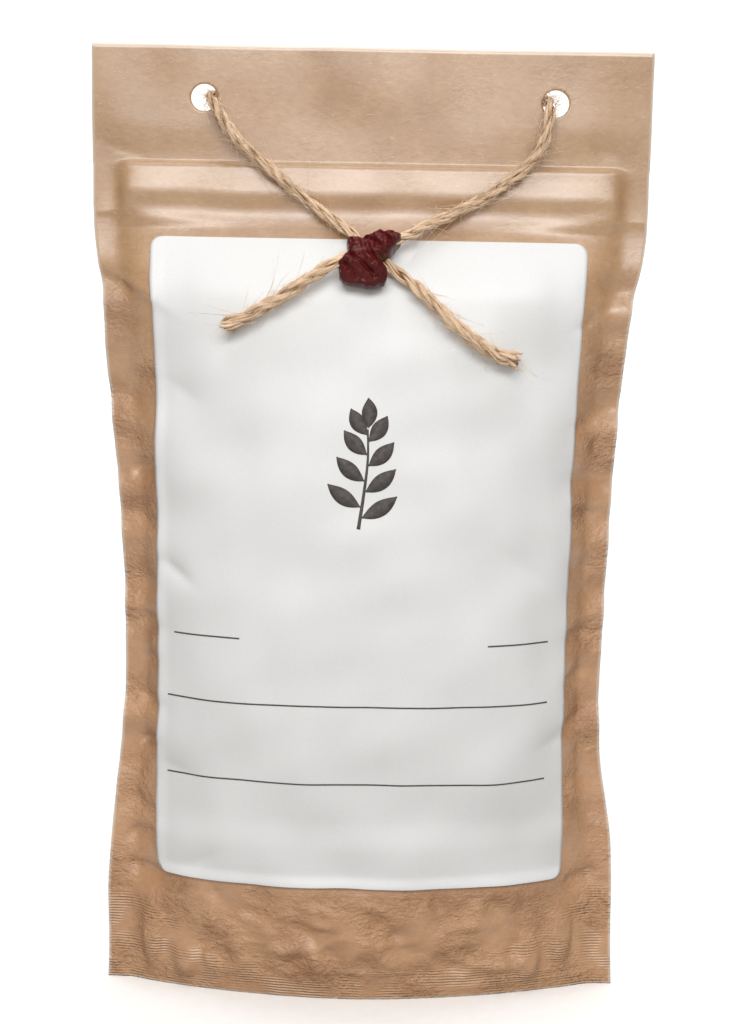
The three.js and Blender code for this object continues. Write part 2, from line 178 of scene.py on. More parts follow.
def make_piece(name, vertices, *face_sets):
    """Mesh object from vertices and one or more arrays of faces, each array with one number of corners."""
    mesh = bpy.data.meshes.new(name)
    counts = np.concatenate([np.full(len(faces), faces.shape[1]) for faces in face_sets])
    corners = np.concatenate([faces.ravel() for faces in face_sets]).astype(np.int32)
    mesh.vertices.add(len(vertices))
    mesh.vertices.foreach_set("co", np.asarray(vertices, dtype=np.float32).ravel())
    mesh.loops.add(len(corners))
    mesh.loops.foreach_set("vertex_index", corners)
    mesh.polygons.add(len(counts))
    starts = np.concatenate([[0], np.cumsum(counts)[:-1]]).astype(np.int32)
    mesh.polygons.foreach_set("loop_start", starts)
    mesh.update(calc_edges=True)
    mesh.polygons.foreach_set("use_smooth", np.ones(len(counts), dtype=bool))
    mesh.validate()
    piece = bpy.data.objects.new(name, mesh)
    bpy.context.collection.objects.link(piece)
    return piece


def set_attribute(piece, name, values):
    """Number or vector on each vertex that a material can read by name."""
    values = np.asarray(values, dtype=np.float32)
    kind, field = ("FLOAT", "value") if values.ndim == 1 else ("FLOAT_VECTOR", "vector")
    piece.data.attributes.new(name, kind, "POINT").data.foreach_set(field, values.ravel())


class Finish:
    """Material under construction: its node tree, its shader and short ways to add and join nodes."""

    def __init__(self, name, roughness, specular=0.5):
        self.material = bpy.data.materials.new(name)
        self.material.use_nodes = True
        self.tree = self.material.node_tree
        self.shader = self.tree.nodes["Principled BSDF"]
        self.shader.inputs["Roughness"].default_value = roughness
        self.shader.inputs["Specular IOR Level"].default_value = specular

    def node(self, kind, values=None, **settings):
        """New node with its settings; values that are sockets are joined, others are set."""
        made = self.tree.nodes.new(kind)
        for key, value in settings.items():
            setattr(made, key, value)
        for key, value in (values or {}).items():
            if isinstance(value, bpy.types.NodeSocket):
                self.tree.links.new(value, made.inputs[key])
            else:
                made.inputs[key].default_value = value
        return made

    def place(self, scale=(1.0, 1.0, 1.0)):
        """Object coordinates, scaled."""
        coordinates = self.node("ShaderNodeTexCoord").outputs["Object"]
        return self.node("ShaderNodeMapping", {"Vector": coordinates, "Scale": scale}).outputs["Vector"]

    def noise(self, vector, scale, detail=4.0, rough=0.55):
        """Cloudy pattern between 0 and 1."""
        values = {"Vector": vector, "Scale": scale, "Detail": detail, "Roughness": rough}
        return self.node("ShaderNodeTexNoise", values).outputs["Fac"]

    def math(self, operation, first, second=0.5, third=0.5, clamp=False):
        """Sum on up to three numbers or sockets."""
        values = {0: first, 1: second, 2: third}
        return self.node("ShaderNodeMath", values, operation=operation, use_clamp=clamp).outputs[0]

    def attribute(self, name):
        """Number stored on the piece's vertices."""
        return self.node("ShaderNodeAttribute", attribute_name=name).outputs["Fac"]

    def ramp(self, factor, *stops):
        """Colours at places along a number, blended between."""
        made = self.node("ShaderNodeValToRGB", {"Fac": factor})
        bar = made.color_ramp.elements
        while len(bar) < len(stops):
            bar.new(0.5)
        for element, (place, colour) in zip(bar, stops):
            element.position = place
            element.color = (*colour, 1.0)
        return made.outputs["Color"]

    def mix(self, factor, first, second, blend="MIX"):
        """A colour, or a socket with one, laid over a socket's colour."""
        if isinstance(second, tuple):
            second = (*second, 1.0)
        values = {0: factor, 6: first, 7: second}
        return self.node("ShaderNodeMix", values, data_type="RGBA", blend_type=blend).outputs[2]

    def bump(self, height, strength, distance):
        """Small relief on the shader's normal, over any relief that is there already."""
        values = {"Height": height, "Strength": strength, "Distance": distance}
        normal = self.shader.inputs["Normal"]
        if normal.links:
            values["Normal"] = normal.links[0].from_socket
        self.tree.links.new(self.node("ShaderNodeBump", values).outputs["Normal"], normal)

    def colour(self, socket):
        """Joins a colour to the shader."""
        self.tree.links.new(socket, self.shader.inputs["Base Color"])

    def on(self, piece):
        """Puts the material on a piece, in place of any that it has."""
        piece.data.materials.clear()
        piece.data.materials.append(self.material)


def smoothstep(low, high, value):
    """0 below low, 1 above high, and an even S between."""
    u = np.clip((value - low) / (high - low), 0, 1)
    return u * u * (3 - 2 * u)


def between(low, high, value):
    """The same S between two limits in millimetres."""
    return smoothstep(low * MM, high * MM, value)


def bell(value, middle, width):
    """1 at the middle, falling evenly to nothing on both sides."""
    return np.exp(-(((value - middle) / width) ** 2))


def wander(rng, along, sway):
    """Slow random sway along a line, from its usual size and its number of knots."""
    size, knots = sway
    return size * np.interp(along, np.linspace(0, along[-1], knots), rng.normal(0, 1, knots))


def plies(curve, along):
    """Vertices, grain and depth of the fibre bundles in the twisted plies: rings about a helix on a helix.

    The plies turn one way about the twine's line and the bundles slowly the other way about their ply, with
    random sway. They loosen on both tails, spread at the cut ends and are squeezed in the holes. The grain is
    a place on the bundle's skin for its fibre pattern. The depth is 0 on the twine's line and 1 outside.
    """
    rng = np.random.default_rng(11)
    first, second, _ = untwisted_frames(curve)
    to_end = np.minimum(along, along[-1] - along)
    to_hole = np.min([np.linalg.norm(curve - TWINE_ROUTE[point], axis=1) for point in HOLE_POINTS], axis=0)
    size = 1 - HOLE_SQUEEZE * bell(to_hole, 0, HOLE_REACH)
    size = size * (1 + TAIL_LOOSENING * np.clip(3 - 3 * to_end / TAIL_LENGTH, 0, 1))
    fray = FRAY_SPREAD * np.clip(1 - to_end / FRAY_LENGTH, 0, 1) ** 2
    turn = np.linspace(0, 2 * np.pi, BUNDLE_SIDES, endpoint=False)[None, :]
    skin = np.cos(turn)[..., None] * first[:, None] + np.sin(turn)[..., None] * second[:, None]
    bodies, grains, depths = [], [], []
    for strand in range(PLY_COUNT * BUNDLE_COUNT):
        ply, bundle = divmod(strand, BUNDLE_COUNT)
        ply_rng = np.random.default_rng(ply)
        phase = 2 * np.pi * (ply / PLY_COUNT + along / TWINE_PITCH) + wander(ply_rng, along, PLY_TURN_SWAY)
        lift = PLY_OFFSET * size * (1 + wander(ply_rng, along, PLY_LIFT_SWAY)) * (1 + fray)
        angle = 2 * np.pi * (bundle / BUNDLE_COUNT - along / BUNDLE_TWIST)
        angle = angle + wander(rng, along, BUNDLE_TURN_SWAY)
        away = BUNDLE_OFFSET * size * (1 + wander(rng, along, BUNDLE_LIFT_SWAY))
        away = away * (1 + fray * rng.uniform(*FRAY_RANGE))
        middle = curve + (np.cos(phase) * lift + np.cos(angle) * away)[:, None] * first
        middle = middle + (np.sin(phase) * lift + np.sin(angle) * away)[:, None] * second
        thick = BUNDLE_RADIUS * size * (1 + wander(rng, along, BUNDLE_SIZE_SWAY))
        whole = smoothstep(0, CUT_TAPER, to_end - rng.uniform(*CUT_STAGGER))
        thick = thick * (CUT_THIN + (1 - CUT_THIN) * whole)
        ring = middle[:, None] + thick[:, None, None] * skin
        depth = np.linalg.norm(ring - curve[:, None], axis=-1) / (PLY_OFFSET + BUNDLE_OFFSET + BUNDLE_RADIUS)
        run = GRAIN_PACE * along[:, None] / MM + GRAIN_SHIFT * strand + 0 * turn
        grain = np.stack([np.cos(turn) + 0 * run, np.sin(turn) + 0 * run, run], axis=-1)
        bodies.append(np.vstack([ring.reshape(-1, 3), middle[:1], middle[-1:]]))
        grains.append(np.vstack([grain.reshape(-1, 3), grain[0, :1], grain[-1, :1]]))
        depths.append(np.concatenate([depth.ravel(), [CUT_DEPTH, CUT_DEPTH]]))
    return bodies, np.vstack(grains), np.concatenate(depths)


def fibres(curve):
    """Vertices of loose fibres: thin three-sided tubes that bow off the twine's surface, none under the wax.

    A fibre leaves at a shallow angle, mostly along the twine, and bends aside by the square of its run.
    """
    rng = np.random.default_rng(5)
    first, second, tangent = untwisted_frames(curve)
    room = np.linalg.norm(curve - WAX_CENTRE, axis=1) - WAX_REACH
    free = np.flatnonzero(room > FIBRE_ROOM)[4:-4]
    at = rng.choice(free, FIBRE_COUNT)
    angle = rng.uniform(0, 2 * np.pi, FIBRE_COUNT)[:, None]
    out = np.cos(angle) * first[at] + np.sin(angle) * second[at]
    ahead = tangent[at] * rng.choice([-1.0, 1.0], FIBRE_COUNT)[:, None]
    out[:, 1] = np.where(out[:, 1] > FIBRE_BACKWARDS, -out[:, 1], out[:, 1])
    length = FIBRE_SHORTEST + rng.gamma(*FIBRE_LENGTHS, FIBRE_COUNT)
    length = np.minimum(length, FIBRE_SHARE * room[at])[:, None, None]
    start = curve[at] + out * (PLY_OFFSET + BUNDLE_OFFSET + 0.2 * BUNDLE_RADIUS)
    leave = unit(ahead + out * rng.beta(*FIBRE_LEAVE, FIBRE_COUNT)[:, None])
    bend = unit(rng.normal(0, 1, (FIBRE_COUNT, 3))) * rng.uniform(*FIBRE_BEND, FIBRE_COUNT)[:, None]
    run = np.linspace(0, 1, FIBRE_RINGS)[None, :, None]
    line = start[:, None] + length * (run * leave[:, None] + run**2 * bend[:, None])
    side = unit(np.cross(leave, out + 0.1 * ahead))
    other = unit(np.cross(leave, side))
    corner = np.linspace(0, 2 * np.pi, FIBRE_SIDES, endpoint=False)
    ring = np.cos(corner)[None, :, None] * side[:, None] + np.sin(corner)[None, :, None] * other[:, None]
    taper = FIBRE_RADIUS * (1.15 - 0.7 * run[..., None])
    return np.concatenate([
        (line[:, :, None] + taper * ring[:, None]).reshape(FIBRE_COUNT, -1, 3),
        line[:, :1],
        line[:, -1:],
    ], axis=1)


def joined_tubes(bodies, rings, sides):
    """Vertices and faces of several tubes in one mesh."""
    parts = [tube_faces(rings, sides, start=index * (rings * sides + 2)) for index in range(len(bodies))]
    return np.vstack(bodies), np.vstack([quads for quads, _ in parts]), np.vstack([caps for _, caps in parts])


def jute_finish():
    """Straw-coloured jute: pale fibres along the ply, painted shade in the grooves between plies, no gloss."""
    finish = Finish("jute", roughness=0.85, specular=0.25)
    skin = finish.node("ShaderNodeAttribute", attribute_name="grain").outputs["Vector"]
    strand = finish.noise(skin, 9.0, 3.0, 0.6)
    patch = finish.noise(finish.place(), 130.0, 2.0)
    pale = finish.ramp(strand, (0.3, (0.55, 0.375, 0.24)), (0.7, (0.94, 0.735, 0.545)))
    shade = finish.ramp(patch, (0.3, (0.88, 0.84, 0.78)), (0.7, (1.04, 1.04, 1.04)))
    # painted shade: the colour darkens towards the twine's line, in the shaded grooves between plies
    groove = finish.ramp(finish.attribute("depth"), (0.45, (0.40, 0.28, 0.18)), (0.8, (1.0, 1.0, 1.0)))
    straw = finish.mix(1.0, pale, shade, blend="MULTIPLY")
    finish.colour(finish.mix(1.0, straw, groove, blend="MULTIPLY"))
    finish.bump(strand, 0.7, 0.12 * MM)
    return finish


def fibre_finish():
    """Single jute fibres: pale straw, lighter and darker from fibre to fibre."""
    finish = Finish("jute_fibre", roughness=0.7, specular=0.3)
    patch = finish.noise(finish.place(), 420.0, 2.0)
    finish.colour(finish.ramp(patch, (0.3, (0.55, 0.38, 0.235)), (0.7, (0.94, 0.75, 0.56))))
    return finish


twine_line, twine_along = smooth_curve(TWINE_ROUTE, TWINE_STEP)
ply_bodies, ply_grain, ply_depth = plies(twine_line, twine_along)
twine = make_piece("twine_plies", *joined_tubes(ply_bodies, len(twine_line), BUNDLE_SIDES))
set_attribute(twine, "grain", ply_grain)
set_attribute(twine, "depth", ply_depth)
jute_finish().on(twine)
loose_fibres = make_piece("twine_fibres", *joined_tubes(fibres(twine_line), FIBRE_RINGS, FIBRE_SIDES))
fibre_finish().on(loose_fibres)


# Wax seal
# A blob of dark red sealing wax, dropped on the crossing while soft and pressed with a ridged tool. It grips
# both strands, and it is stiff and half glossy, with a ragged, rounded rim, and thinner towards its bottom.
WAX_TILT = math.radians(27)
WAX_FRONT = 4.5 * MM
WAX_BACK = 3.0 * MM
WAX_THINNING, WAX_THIN_FROM, WAX_THIN_TO = 0.6, 1 * MM, 6.5 * MM
WAX_RAGGED, WAX_GRAIN = 0.22 * MM, 0.2 * MM
WAX_SQUARENESS = 0.5
WAX_ROUND, WAX_RINGS, WAX_CROWDING = 240, 110, 2.2
WAX_GROOVE, WAX_GROOVE_HALF, WAX_GROOVE_PITCH = 1.0 * MM, 0.7, 2.7
WAX_GROOVE_ANGLE = math.radians(38)
WAX_OUTLINE = MM * np.array([
    (2.6, -0.8), (5.5, 1.7), (7.3, 5.6), (4.4, 6.3), (1.8, 6.3), (-1.2, 4.6), (-4.8, 4.6),
    (-5.0, 1.2), (-6.8, -2.2), (-6.0, -5.4), (-2.8, -6.2), (0.6, -6.6), (3.8, -5.6), (4.2, -3.2),
])
OUTLINE_STEP = 0.05 * MM
WAVE_COUNT = 10


def closed_outline(points, count):
    """Even points on a closed smooth curve, of which the middle one of three rounds is kept."""
    flat = np.column_stack([points[:, 0], np.zeros(len(points)), points[:, 1]])
    round_three = np.vstack([flat, flat, flat, flat[:1]])
    curve, along = smooth_curve(round_three, OUTLINE_STEP)
    even = np.linspace(along[-1] / 3, 2 * along[-1] / 3, count, endpoint=False)
    return np.stack([np.interp(even, along, curve[:, axis]) for axis in (0, 2)], axis=1)


def ripples(a, b, wavelength, seed):
    """Smooth random relief of about -1 to 1 at places in metres: a sum of cosine waves.

    Their lengths are near the given one, in millimetres, and their directions and phases are seeded.
    """
    rng = np.random.default_rng(seed)
    angle = rng.uniform(0, np.pi, WAVE_COUNT)
    pace = 2 * np.pi / (MM * wavelength * rng.uniform(0.7, 1.5, WAVE_COUNT))
    phase = rng.uniform(0, 2 * np.pi, WAVE_COUNT)
    turn = np.multiply.outer(a, pace * np.cos(angle)) + np.multiply.outer(b, pace * np.sin(angle))
    return np.cos(turn + phase).sum(axis=-1) / np.sqrt(WAVE_COUNT)


def wax_blob():
    """Vertices from the back pole to the front pole: the outline shrinks to each pole and swells between.

    The powers on the two swellings make a flat face with a round rim, thinner towards the bottom. Slanting V
    grooves cut the face and fade at the ragged rim. The whole is tilted to lie along the pouch's shoulder.
    """
    outline = closed_outline(WAX_OUTLINE, WAX_ROUND)
    ragged = WAX_RAGGED * ripples(outline[:, 0], outline[:, 1], 1.9, 6)
    outline = outline * (1 + ragged / np.linalg.norm(outline, axis=1))[:, None]
    climb = np.linspace(-1, 1, WAX_RINGS + 2)[1:-1, None]
    latitude = np.sign(climb) * np.pi / 2 * (1 - (1 - np.abs(climb)) ** WAX_CROWDING)
    shrink = np.cos(latitude) ** WAX_SQUARENESS
    x = shrink * outline[None, :, 0]
    z = shrink * outline[None, :, 1]
    lift = np.sign(np.sin(latitude)) * np.abs(np.sin(latitude)) ** WAX_SQUARENESS
    front = WAX_FRONT * (1 - WAX_THINNING * smoothstep(WAX_THIN_FROM, WAX_THIN_TO, -z))
    y = -np.where(lift > 0, lift * front, lift * WAX_BACK)
    across = (math.sin(WAX_GROOVE_ANGLE) * x + math.cos(WAX_GROOVE_ANGLE) * z) / MM
    across = across + 0.35 * ripples(x, z, 7, 4)
    to_groove = np.abs((across / WAX_GROOVE_PITCH + 0.5) % 1 - 0.5) * WAX_GROOVE_PITCH
    groove = np.clip(1 - to_groove / WAX_GROOVE_HALF, 0, 1)
    patchy = np.clip(0.75 + 0.6 * ripples(x, z, 7, 8), 0, 1.2)
    inside = np.clip(lift, 0, 1) ** 2 * smoothstep(0.02, 0.2, 1 - shrink)
    y = y + WAX_GROOVE * groove * inside * patchy
    y = y + WAX_GRAIN * ripples(x, z, 1.7, 3) * np.clip(lift + 0.4, 0, 1)
    body = np.stack([x, y, z], axis=-1).reshape(-1, 3)
    poles = np.array([[0, WAX_BACK, 0], [0, y[-1].mean(), 0]])
    body = np.vstack([body, poles])
    cosine, sine = math.cos(-WAX_TILT), math.sin(-WAX_TILT)
    turned = np.column_stack([
        body[:, 0],
        cosine * body[:, 1] - sine * body[:, 2],
        sine * body[:, 1] + cosine * body[:, 2],
    ])
    return turned + WAX_CENTRE


def wax_finish():
    """Dark red wax: cloudy depth of colour, half gloss with faint pits."""
    finish = Finish("sealing_wax", roughness=0.24, specular=0.14)
    cloud = finish.noise(finish.place(), 320.0, 3.0)
    finish.colour(finish.ramp(cloud, (0.3, (0.056, 0.005, 0.005)), (0.75, (0.105, 0.0095, 0.0095))))
    pits = finish.noise(finish.place(), 1500.0, 3.0)
    finish.bump(pits, 0.25, 0.12 * MM)
    return finish


wax_quads, wax_caps = tube_faces(WAX_RINGS, WAX_ROUND)
wax = make_piece("wax_seal_blob", wax_blob(), wax_quads, wax_caps)
wax_finish().on(wax)

for piece, node, slot in ((twine, "twine", "jute_twine"), (wax, "wax_seal", "sealing_wax")):
    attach(piece, "root")
    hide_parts(node)
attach(loose_fibres, "root")


# Front and back panels
# Two sheets of brown kraft paper laminate, welded along both sides, with a press-to-close zip inside and two
# punched holes in the header. The fill swells them below the zip, so that the sides draw in and crumple.
POUCH_WIDTH = 130 * MM
POUCH_HEIGHT = 226 * MM
SIDE_SEAL = 6 * MM
OPEN_HALF = POUCH_WIDTH / 2 - SIDE_SEAL
FILM = 0.3 * MM
DEPTH_HEIGHTS, DEPTH_VALUES = MM * np.array([
    (0, 12.3), (14, 14.8), (28, 15.3), (45, 16.2), (70, 17.8), (95, 17.6), (125, 16.5), (150, 14.0),
    (168, 11.3), (178, 6.8), (186, 2.6), (190, 1.3), (198.2, 1.3), (199.6, 0.2), (226, 0.1),
]).T
BASE_POWER, BELLY_POWER, SHOULDER_POWER, ZIP_POWER = 1.8, 2.9, 5.5, 30.0
BELLY_FROM = 70 * MM
SHOULDER_FROM, SHOULDER, ZIP_BOTTOM, ZIP_TOP = 152 * MM, 184 * MM, 190 * MM, 199 * MM
STEEPEST_WALL = 0.2
SEAM_ROUNDING = 0.014
PARTING, GUSSET_PARTING = 0.05 * MM, 0.55 * MM
PARTING_FROM, PARTING_TO = 38 * MM, 46 * MM
HOLE_RADIUS = 3.1 * MM
HOLE_HEIGHT = 214 * MM
HOLE_PLACES = (-39 * MM, 42.5 * MM)
ZIP_HEIGHTS, ZIP_STAND = MM * np.array([
    (184.0, 0), (187.6, 0.3), (190.9, 1.25), (192.3, 1.5), (197.0, 0.2), (198.2, 0.12), (199.4, 0),
]).T
ZIP_SOFTENING = MM * np.array([-0.9, -0.45, 0, 0.45, 0.9])
ZIP_HALF, ZIP_FADE, ZIP_WAVER = 59.5 * MM, 3 * MM, 0.3 * MM
SEAL_LINE_PITCH = 0.7 * MM
SLOPE_REACH = 0.4 * MM
RIM = 0.3 * MM
# Stretch, scale, roughness, strength and depth of each fine creasing of the paper.
CREASES = ((0.7, 380.0, 0.6, 0.8, 2.0 * MM), (0.6, 800.0, 0.55, 0.7, 1.0 * MM))
# Height and length of each wave in the side seals, in millimetres, and its phase.
BUCKLES = ((0.6, 23.5, 0.0), (0.5, 14.3, 1.0), (0.35, 9.1, 2.6))
# Height and depth of each fold beside a seal, in millimetres.
LEFT_FOLDS = (
    (150, 0.5), (127, 0.9), (117, 0.5), (101, 0.5), (92, 0.8), (81, 0.7), (71.5, 1.1), (61, 1.2), (47, 0.4),
    (37, 0.9), (30, 0.8),
)
RIGHT_FOLDS = (
    (153, 0.4), (141, 0.8), (128, 0.5), (118, 0.8), (105, 0.7), (90, 0.9), (80, 0.8), (69, 1.2), (53, 0.4),
    (30, 0.7),
)
FRONT_FOLD_SEED, BACK_FOLD_SEED = 21, 31
FOLD_LIMIT = 0.5
PAD_HEIGHT = 2.2 * MM
# Middle and half size of each pad, in millimetres.
PADS = (
    ((-52.0, 13.6), (3.1, 8.4)), ((-42.5, 9.0), (3.3, 5.6)),
    ((42.0, 9.6), (3.2, 5.4)), ((51.0, 15.0), (3.0, 7.6)),
)
# Middle, reach, rise, drop and height of each fold, in millimetres, and its angle.
CORNER_FOLD = ((-62.6, 1.8), 4.0, 1.2, 0.3, 0.6, -0.85)
HEMS = (
    ((-4.0, 7.4), 26.0, 1.0, 0.5, 0.35, -0.05),
    ((36.0, 2.6), 20.0, 0.7, 0.3, 0.5, 0.03),
    ((40.0, 4.2), 16.0, 0.7, 0.3, 0.45, 0.08),
)
# Middle, size and depth of each dent, in millimetres, and its angle.
FRONT_DENTS = (
    ((-45.5, 104.0), (5.0, 2.2), 1.4, -0.5),
    ((-44.0, 146.5), (5.0, 4.0), 0.9, -0.5),
    ((39.0, 106.0), (8.0, 4.5), 1.0, -0.6),
    ((-40.0, 33.0), (6.0, 3.0), 0.8, 0.5),
    ((-45.0, 56.0), (5.0, 3.0), 0.6, -0.3),
    ((48.0, 64.0), (5.0, 3.0), 0.8, 0.3),
    ((54.5, 164.8), (5.0, 1.2), 1.2, 0.45),
    ((-54.0, 31.0), (4.0, 4.5), 0.7, 1.2),
    ((53.5, 29.0), (3.6, 3.5), 0.6, -1.2),
    ((11.5, 6.4), (9.0, 2.6), 0.8, 0.1),
    ((54.0, 203.6), (3.5, 1.6), 0.5, -0.5),
    ((-57.0, 201.6), (5.0, 0.8), 0.35, -0.35),
)
FRONT_CRUMPLES = (
    ((-56.5, 170.5), 9.0, 8.0, 1.1, 1.7, -0.5),
    ((-61.5, 187.4), 5.0, 3.0, 0.4, 0.5, 0.12),
    ((61.0, 186.8), 8.0, 3.0, 0.5, 0.4, -0.06),
)
BACK_DENTS = (
    ((20.0, 172.0), (9.0, 2.4), 0.6, 0.2),
    ((-34.0, 150.0), (8.0, 3.0), 0.5, -0.5),
    ((30.0, 60.0), (9.0, 3.0), 0.5, 0.6),
    ((-28.0, 86.0), (7.0, 3.0), 0.4, 0.2),
)


def half_depth(z):
    """Half depth of the filled pouch: cubic spans, with each slope read across its two neighbours."""
    x, y = DEPTH_HEIGHTS, DEPTH_VALUES
    slope = np.gradient(y, x)
    slope[1:-1] = (y[2:] - y[:-2]) / (x[2:] - x[:-2])
    i = np.clip(np.searchsorted(x, z, side="right") - 1, 0, len(x) - 2)
    h = x[i + 1] - x[i]
    u = (z - x[i]) / h
    return (
        (1 + 2 * u) * (1 - u) ** 2 * y[i] + u * (1 - u) ** 2 * h * slope[i]
        + u * u * (3 - 2 * u) * y[i + 1] + u * u * (u - 1) * h * slope[i + 1]
    )


def film_depth(s, z):
    """Depth of the film from the middle plane, at a distance s along it from its middle line and a height z.

    Across the pouch it is d (1 - t^p), where t is |s / S| with its corner at the side seal rounded off.
    """
    power = BASE_POWER + (BELLY_POWER - BASE_POWER) * smoothstep(0, BELLY_FROM, z)
    power = power + (SHOULDER_POWER - BELLY_POWER) * smoothstep(SHOULDER_FROM, SHOULDER, z)
    power = power + (ZIP_POWER - SHOULDER_POWER) * smoothstep(SHOULDER, ZIP_BOTTOM, z)
    t = np.abs(s) / OPEN_HALF
    t = np.maximum(1 - SEAM_ROUNDING * np.logaddexp(0, (1 - t) / SEAM_ROUNDING), 0)
    return half_depth(z) * (1 - t**power)


TABLE_S = np.linspace(0, POUCH_WIDTH / 2, 521)
TABLE_Z = np.linspace(0, POUCH_HEIGHT, 453)
table_rise = np.diff(film_depth(TABLE_S[None, :], TABLE_Z[:, None]), axis=1)
table_step = np.diff(TABLE_S)[None, :]
table_run = np.sqrt(np.maximum(table_step**2 - table_rise**2, (STEEPEST_WALL * table_step) ** 2))
FILM_X = np.concatenate([np.zeros((len(TABLE_Z), 1)), np.cumsum(table_run, axis=1)], axis=1)


def film_x(s, z):
    """Sideways place of the film. It keeps its length: x takes what each step in depth leaves over."""
    row = np.clip(z / TABLE_Z[1], 0, len(TABLE_Z) - 1.001)
    column = np.clip(np.abs(s) / TABLE_S[1], 0, len(TABLE_S) - 1.001)
    i, j = row.astype(int), column.astype(int)
    a, b = row - i, column - j
    low = FILM_X[i, j] * (1 - b) + FILM_X[i, j + 1] * b
    high = FILM_X[i + 1, j] * (1 - b) + FILM_X[i + 1, j + 1] * b
    return np.sign(s) * (low * (1 - a) + high * a)


def gathered(s, z):
    """How far the crumpled side seals are drawn to the middle: most on the left, a little at the base."""
    left = 2.5 * bell(z, 88 * MM, 50 * MM) + 1.5 * (1 - between(0, 26, z))
    right = 1.8 * between(34, 60, z) * (1 - between(150, 180, z))
    right = right + 0.5 * bell(z, 72 * MM, 26 * MM) + 0.4 * (1 - between(0, 26, z))
    return MM * np.where(s < 0, left, -right) * between(48, 64, np.abs(s))


def in_seal(s):
    """0 in the free film and 1 in the side seal, where both panels move as one."""
    return between(53, 60, np.abs(s))


def slack(s, z):
    """Shared sway of both panels, front to back: leaning, buckled and folded side seals, and a wavy header."""
    beside = between(47, 63, np.abs(s)) * between(38, 60, z)
    beside = beside * (1 - between(168, 186, z))
    turn = 2 * np.pi * z / MM + 2.1 * np.sign(s)
    buckles = sum(height * np.sin(turn / length + phase) for height, length, phase in BUCKLES)
    lean = -3.2 * between(42, 60, np.abs(s)) * bell(z, 166 * MM, 13 * MM)
    lean = lean + 1.8 * between(56, 66, np.abs(s)) * bell(z, 100 * MM, 50 * MM)
    header = smoothstep(ZIP_TOP, 209 * MM, z)
    waves = 0.45 * ripples(s, 0.6 * z, 46, 80) + 0.2 * ripples(s, z, 21, 81) - 0.3
    folds = both_folds(s, z, LEFT_FOLDS, RIGHT_FOLDS, FRONT_FOLD_SEED)
    return MM * (beside * buckles + lean + header * waves) - folds * in_seal(s)


def pouch_surface(s, z, side):
    """Points of a panel's inner face. side is -1 for the front and 1 for the back."""
    s, z = np.broadcast_arrays(s, z)
    parting = PARTING + GUSSET_PARTING * (1 - smoothstep(PARTING_FROM, PARTING_TO, z))
    x = film_x(s, z) + gathered(s, z)
    y = side * (film_depth(s, z) + parting) + slack(s, z)
    return np.stack([x, y, z], axis=-1)


def outward(s, z, side):
    """Unit normals of a panel, pointing out of the pouch, from its slopes over a short way across and up."""
    low, high = np.maximum(z - SLOPE_REACH, 0), np.minimum(z + SLOPE_REACH, POUCH_HEIGHT)
    across = pouch_surface(s + SLOPE_REACH, z, side) - pouch_surface(s - SLOPE_REACH, z, side)
    upwards = pouch_surface(s, high, side) - pouch_surface(s, low, side)
    return unit(-side * np.cross(across, upwards))


def local(s, z, at, angle):
    """Distances along and across a line through a place, in millimetres."""
    ds, dz = s / MM - at[0], z / MM - at[1]
    return ds * math.cos(angle) + dz * math.sin(angle), dz * math.cos(angle) - ds * math.sin(angle)


def dent(s, z, at, size, depth, angle):
    """Hollow with a crease along its length: a bell along it, and a tent across it."""
    along, across = local(s, z, at, angle)
    tent = np.exp(-np.sqrt((across / size[1]) ** 2 + 0.02))
    return -depth * MM * bell(along, 0, size[0]) * tent


def crumple(s, z, at, reach, rise, drop, height, angle):
    """Fold that swells slowly from above to a crest and falls sharply below it, fading to its ends."""
    along, across = local(s, z, at, angle)
    profile = np.exp(-np.abs(across) / np.where(across > 0, rise, drop))
    return height * MM * bell(along, 0, reach) * profile


def disc(s, z, at, size):
    """Raised oval pad, highest a little below its middle: slow to rise at its top, steep below."""
    ds, dz = (s / MM - at[0]) / size[0], (z / MM - at[1]) / size[1]
    r = np.hypot(ds, dz)
    return np.exp(-(r**4)) * (0.7 - 0.45 * dz)


def zip_relief(s, z):
    """The closed zip under the paper: one ridge, highest near its lower edge, that ends at the side seals.

    Straight lines between the listed heights, softened by taking the mean over a short way up and down.
    """
    inside = smoothstep(0, ZIP_FADE, ZIP_HALF - np.abs(s))
    level = z - ZIP_WAVER * ripples(s, 0 * z, 60, 41)
    stand = sum(np.interp(level + shift, ZIP_HEIGHTS, ZIP_STAND) for shift in ZIP_SOFTENING)
    return stand / len(ZIP_SOFTENING) * inside * (1 + 0.15 * ripples(s, 0.2 * z, 22, 40))


def valley(s, z, at, reach, width, depth, lean):
    """Hollow that starts at a point by a side seal and widens towards the middle, where it fades out.

    Its upper wall is steep and its lower wall is long.
    """
    inwards = (at[0] - s / MM) * np.sign(at[0])
    across = z / MM - at[1] - lean * inwards
    wide = width * (0.4 + 0.6 * np.clip(inwards / (0.7 * reach), 0, 1))
    fade = smoothstep(0, 0.5 * reach, inwards) * (1 - smoothstep(0.8 * reach, 1.7 * reach, inwards))
    slope = np.clip(1 - np.abs(across) / np.where(across > 0, 1.3 * wide, 2.6 * wide), 0, 1)
    return -depth * MM * fade * slope * (0.5 + 0.5 * smoothstep(0, 1, slope))


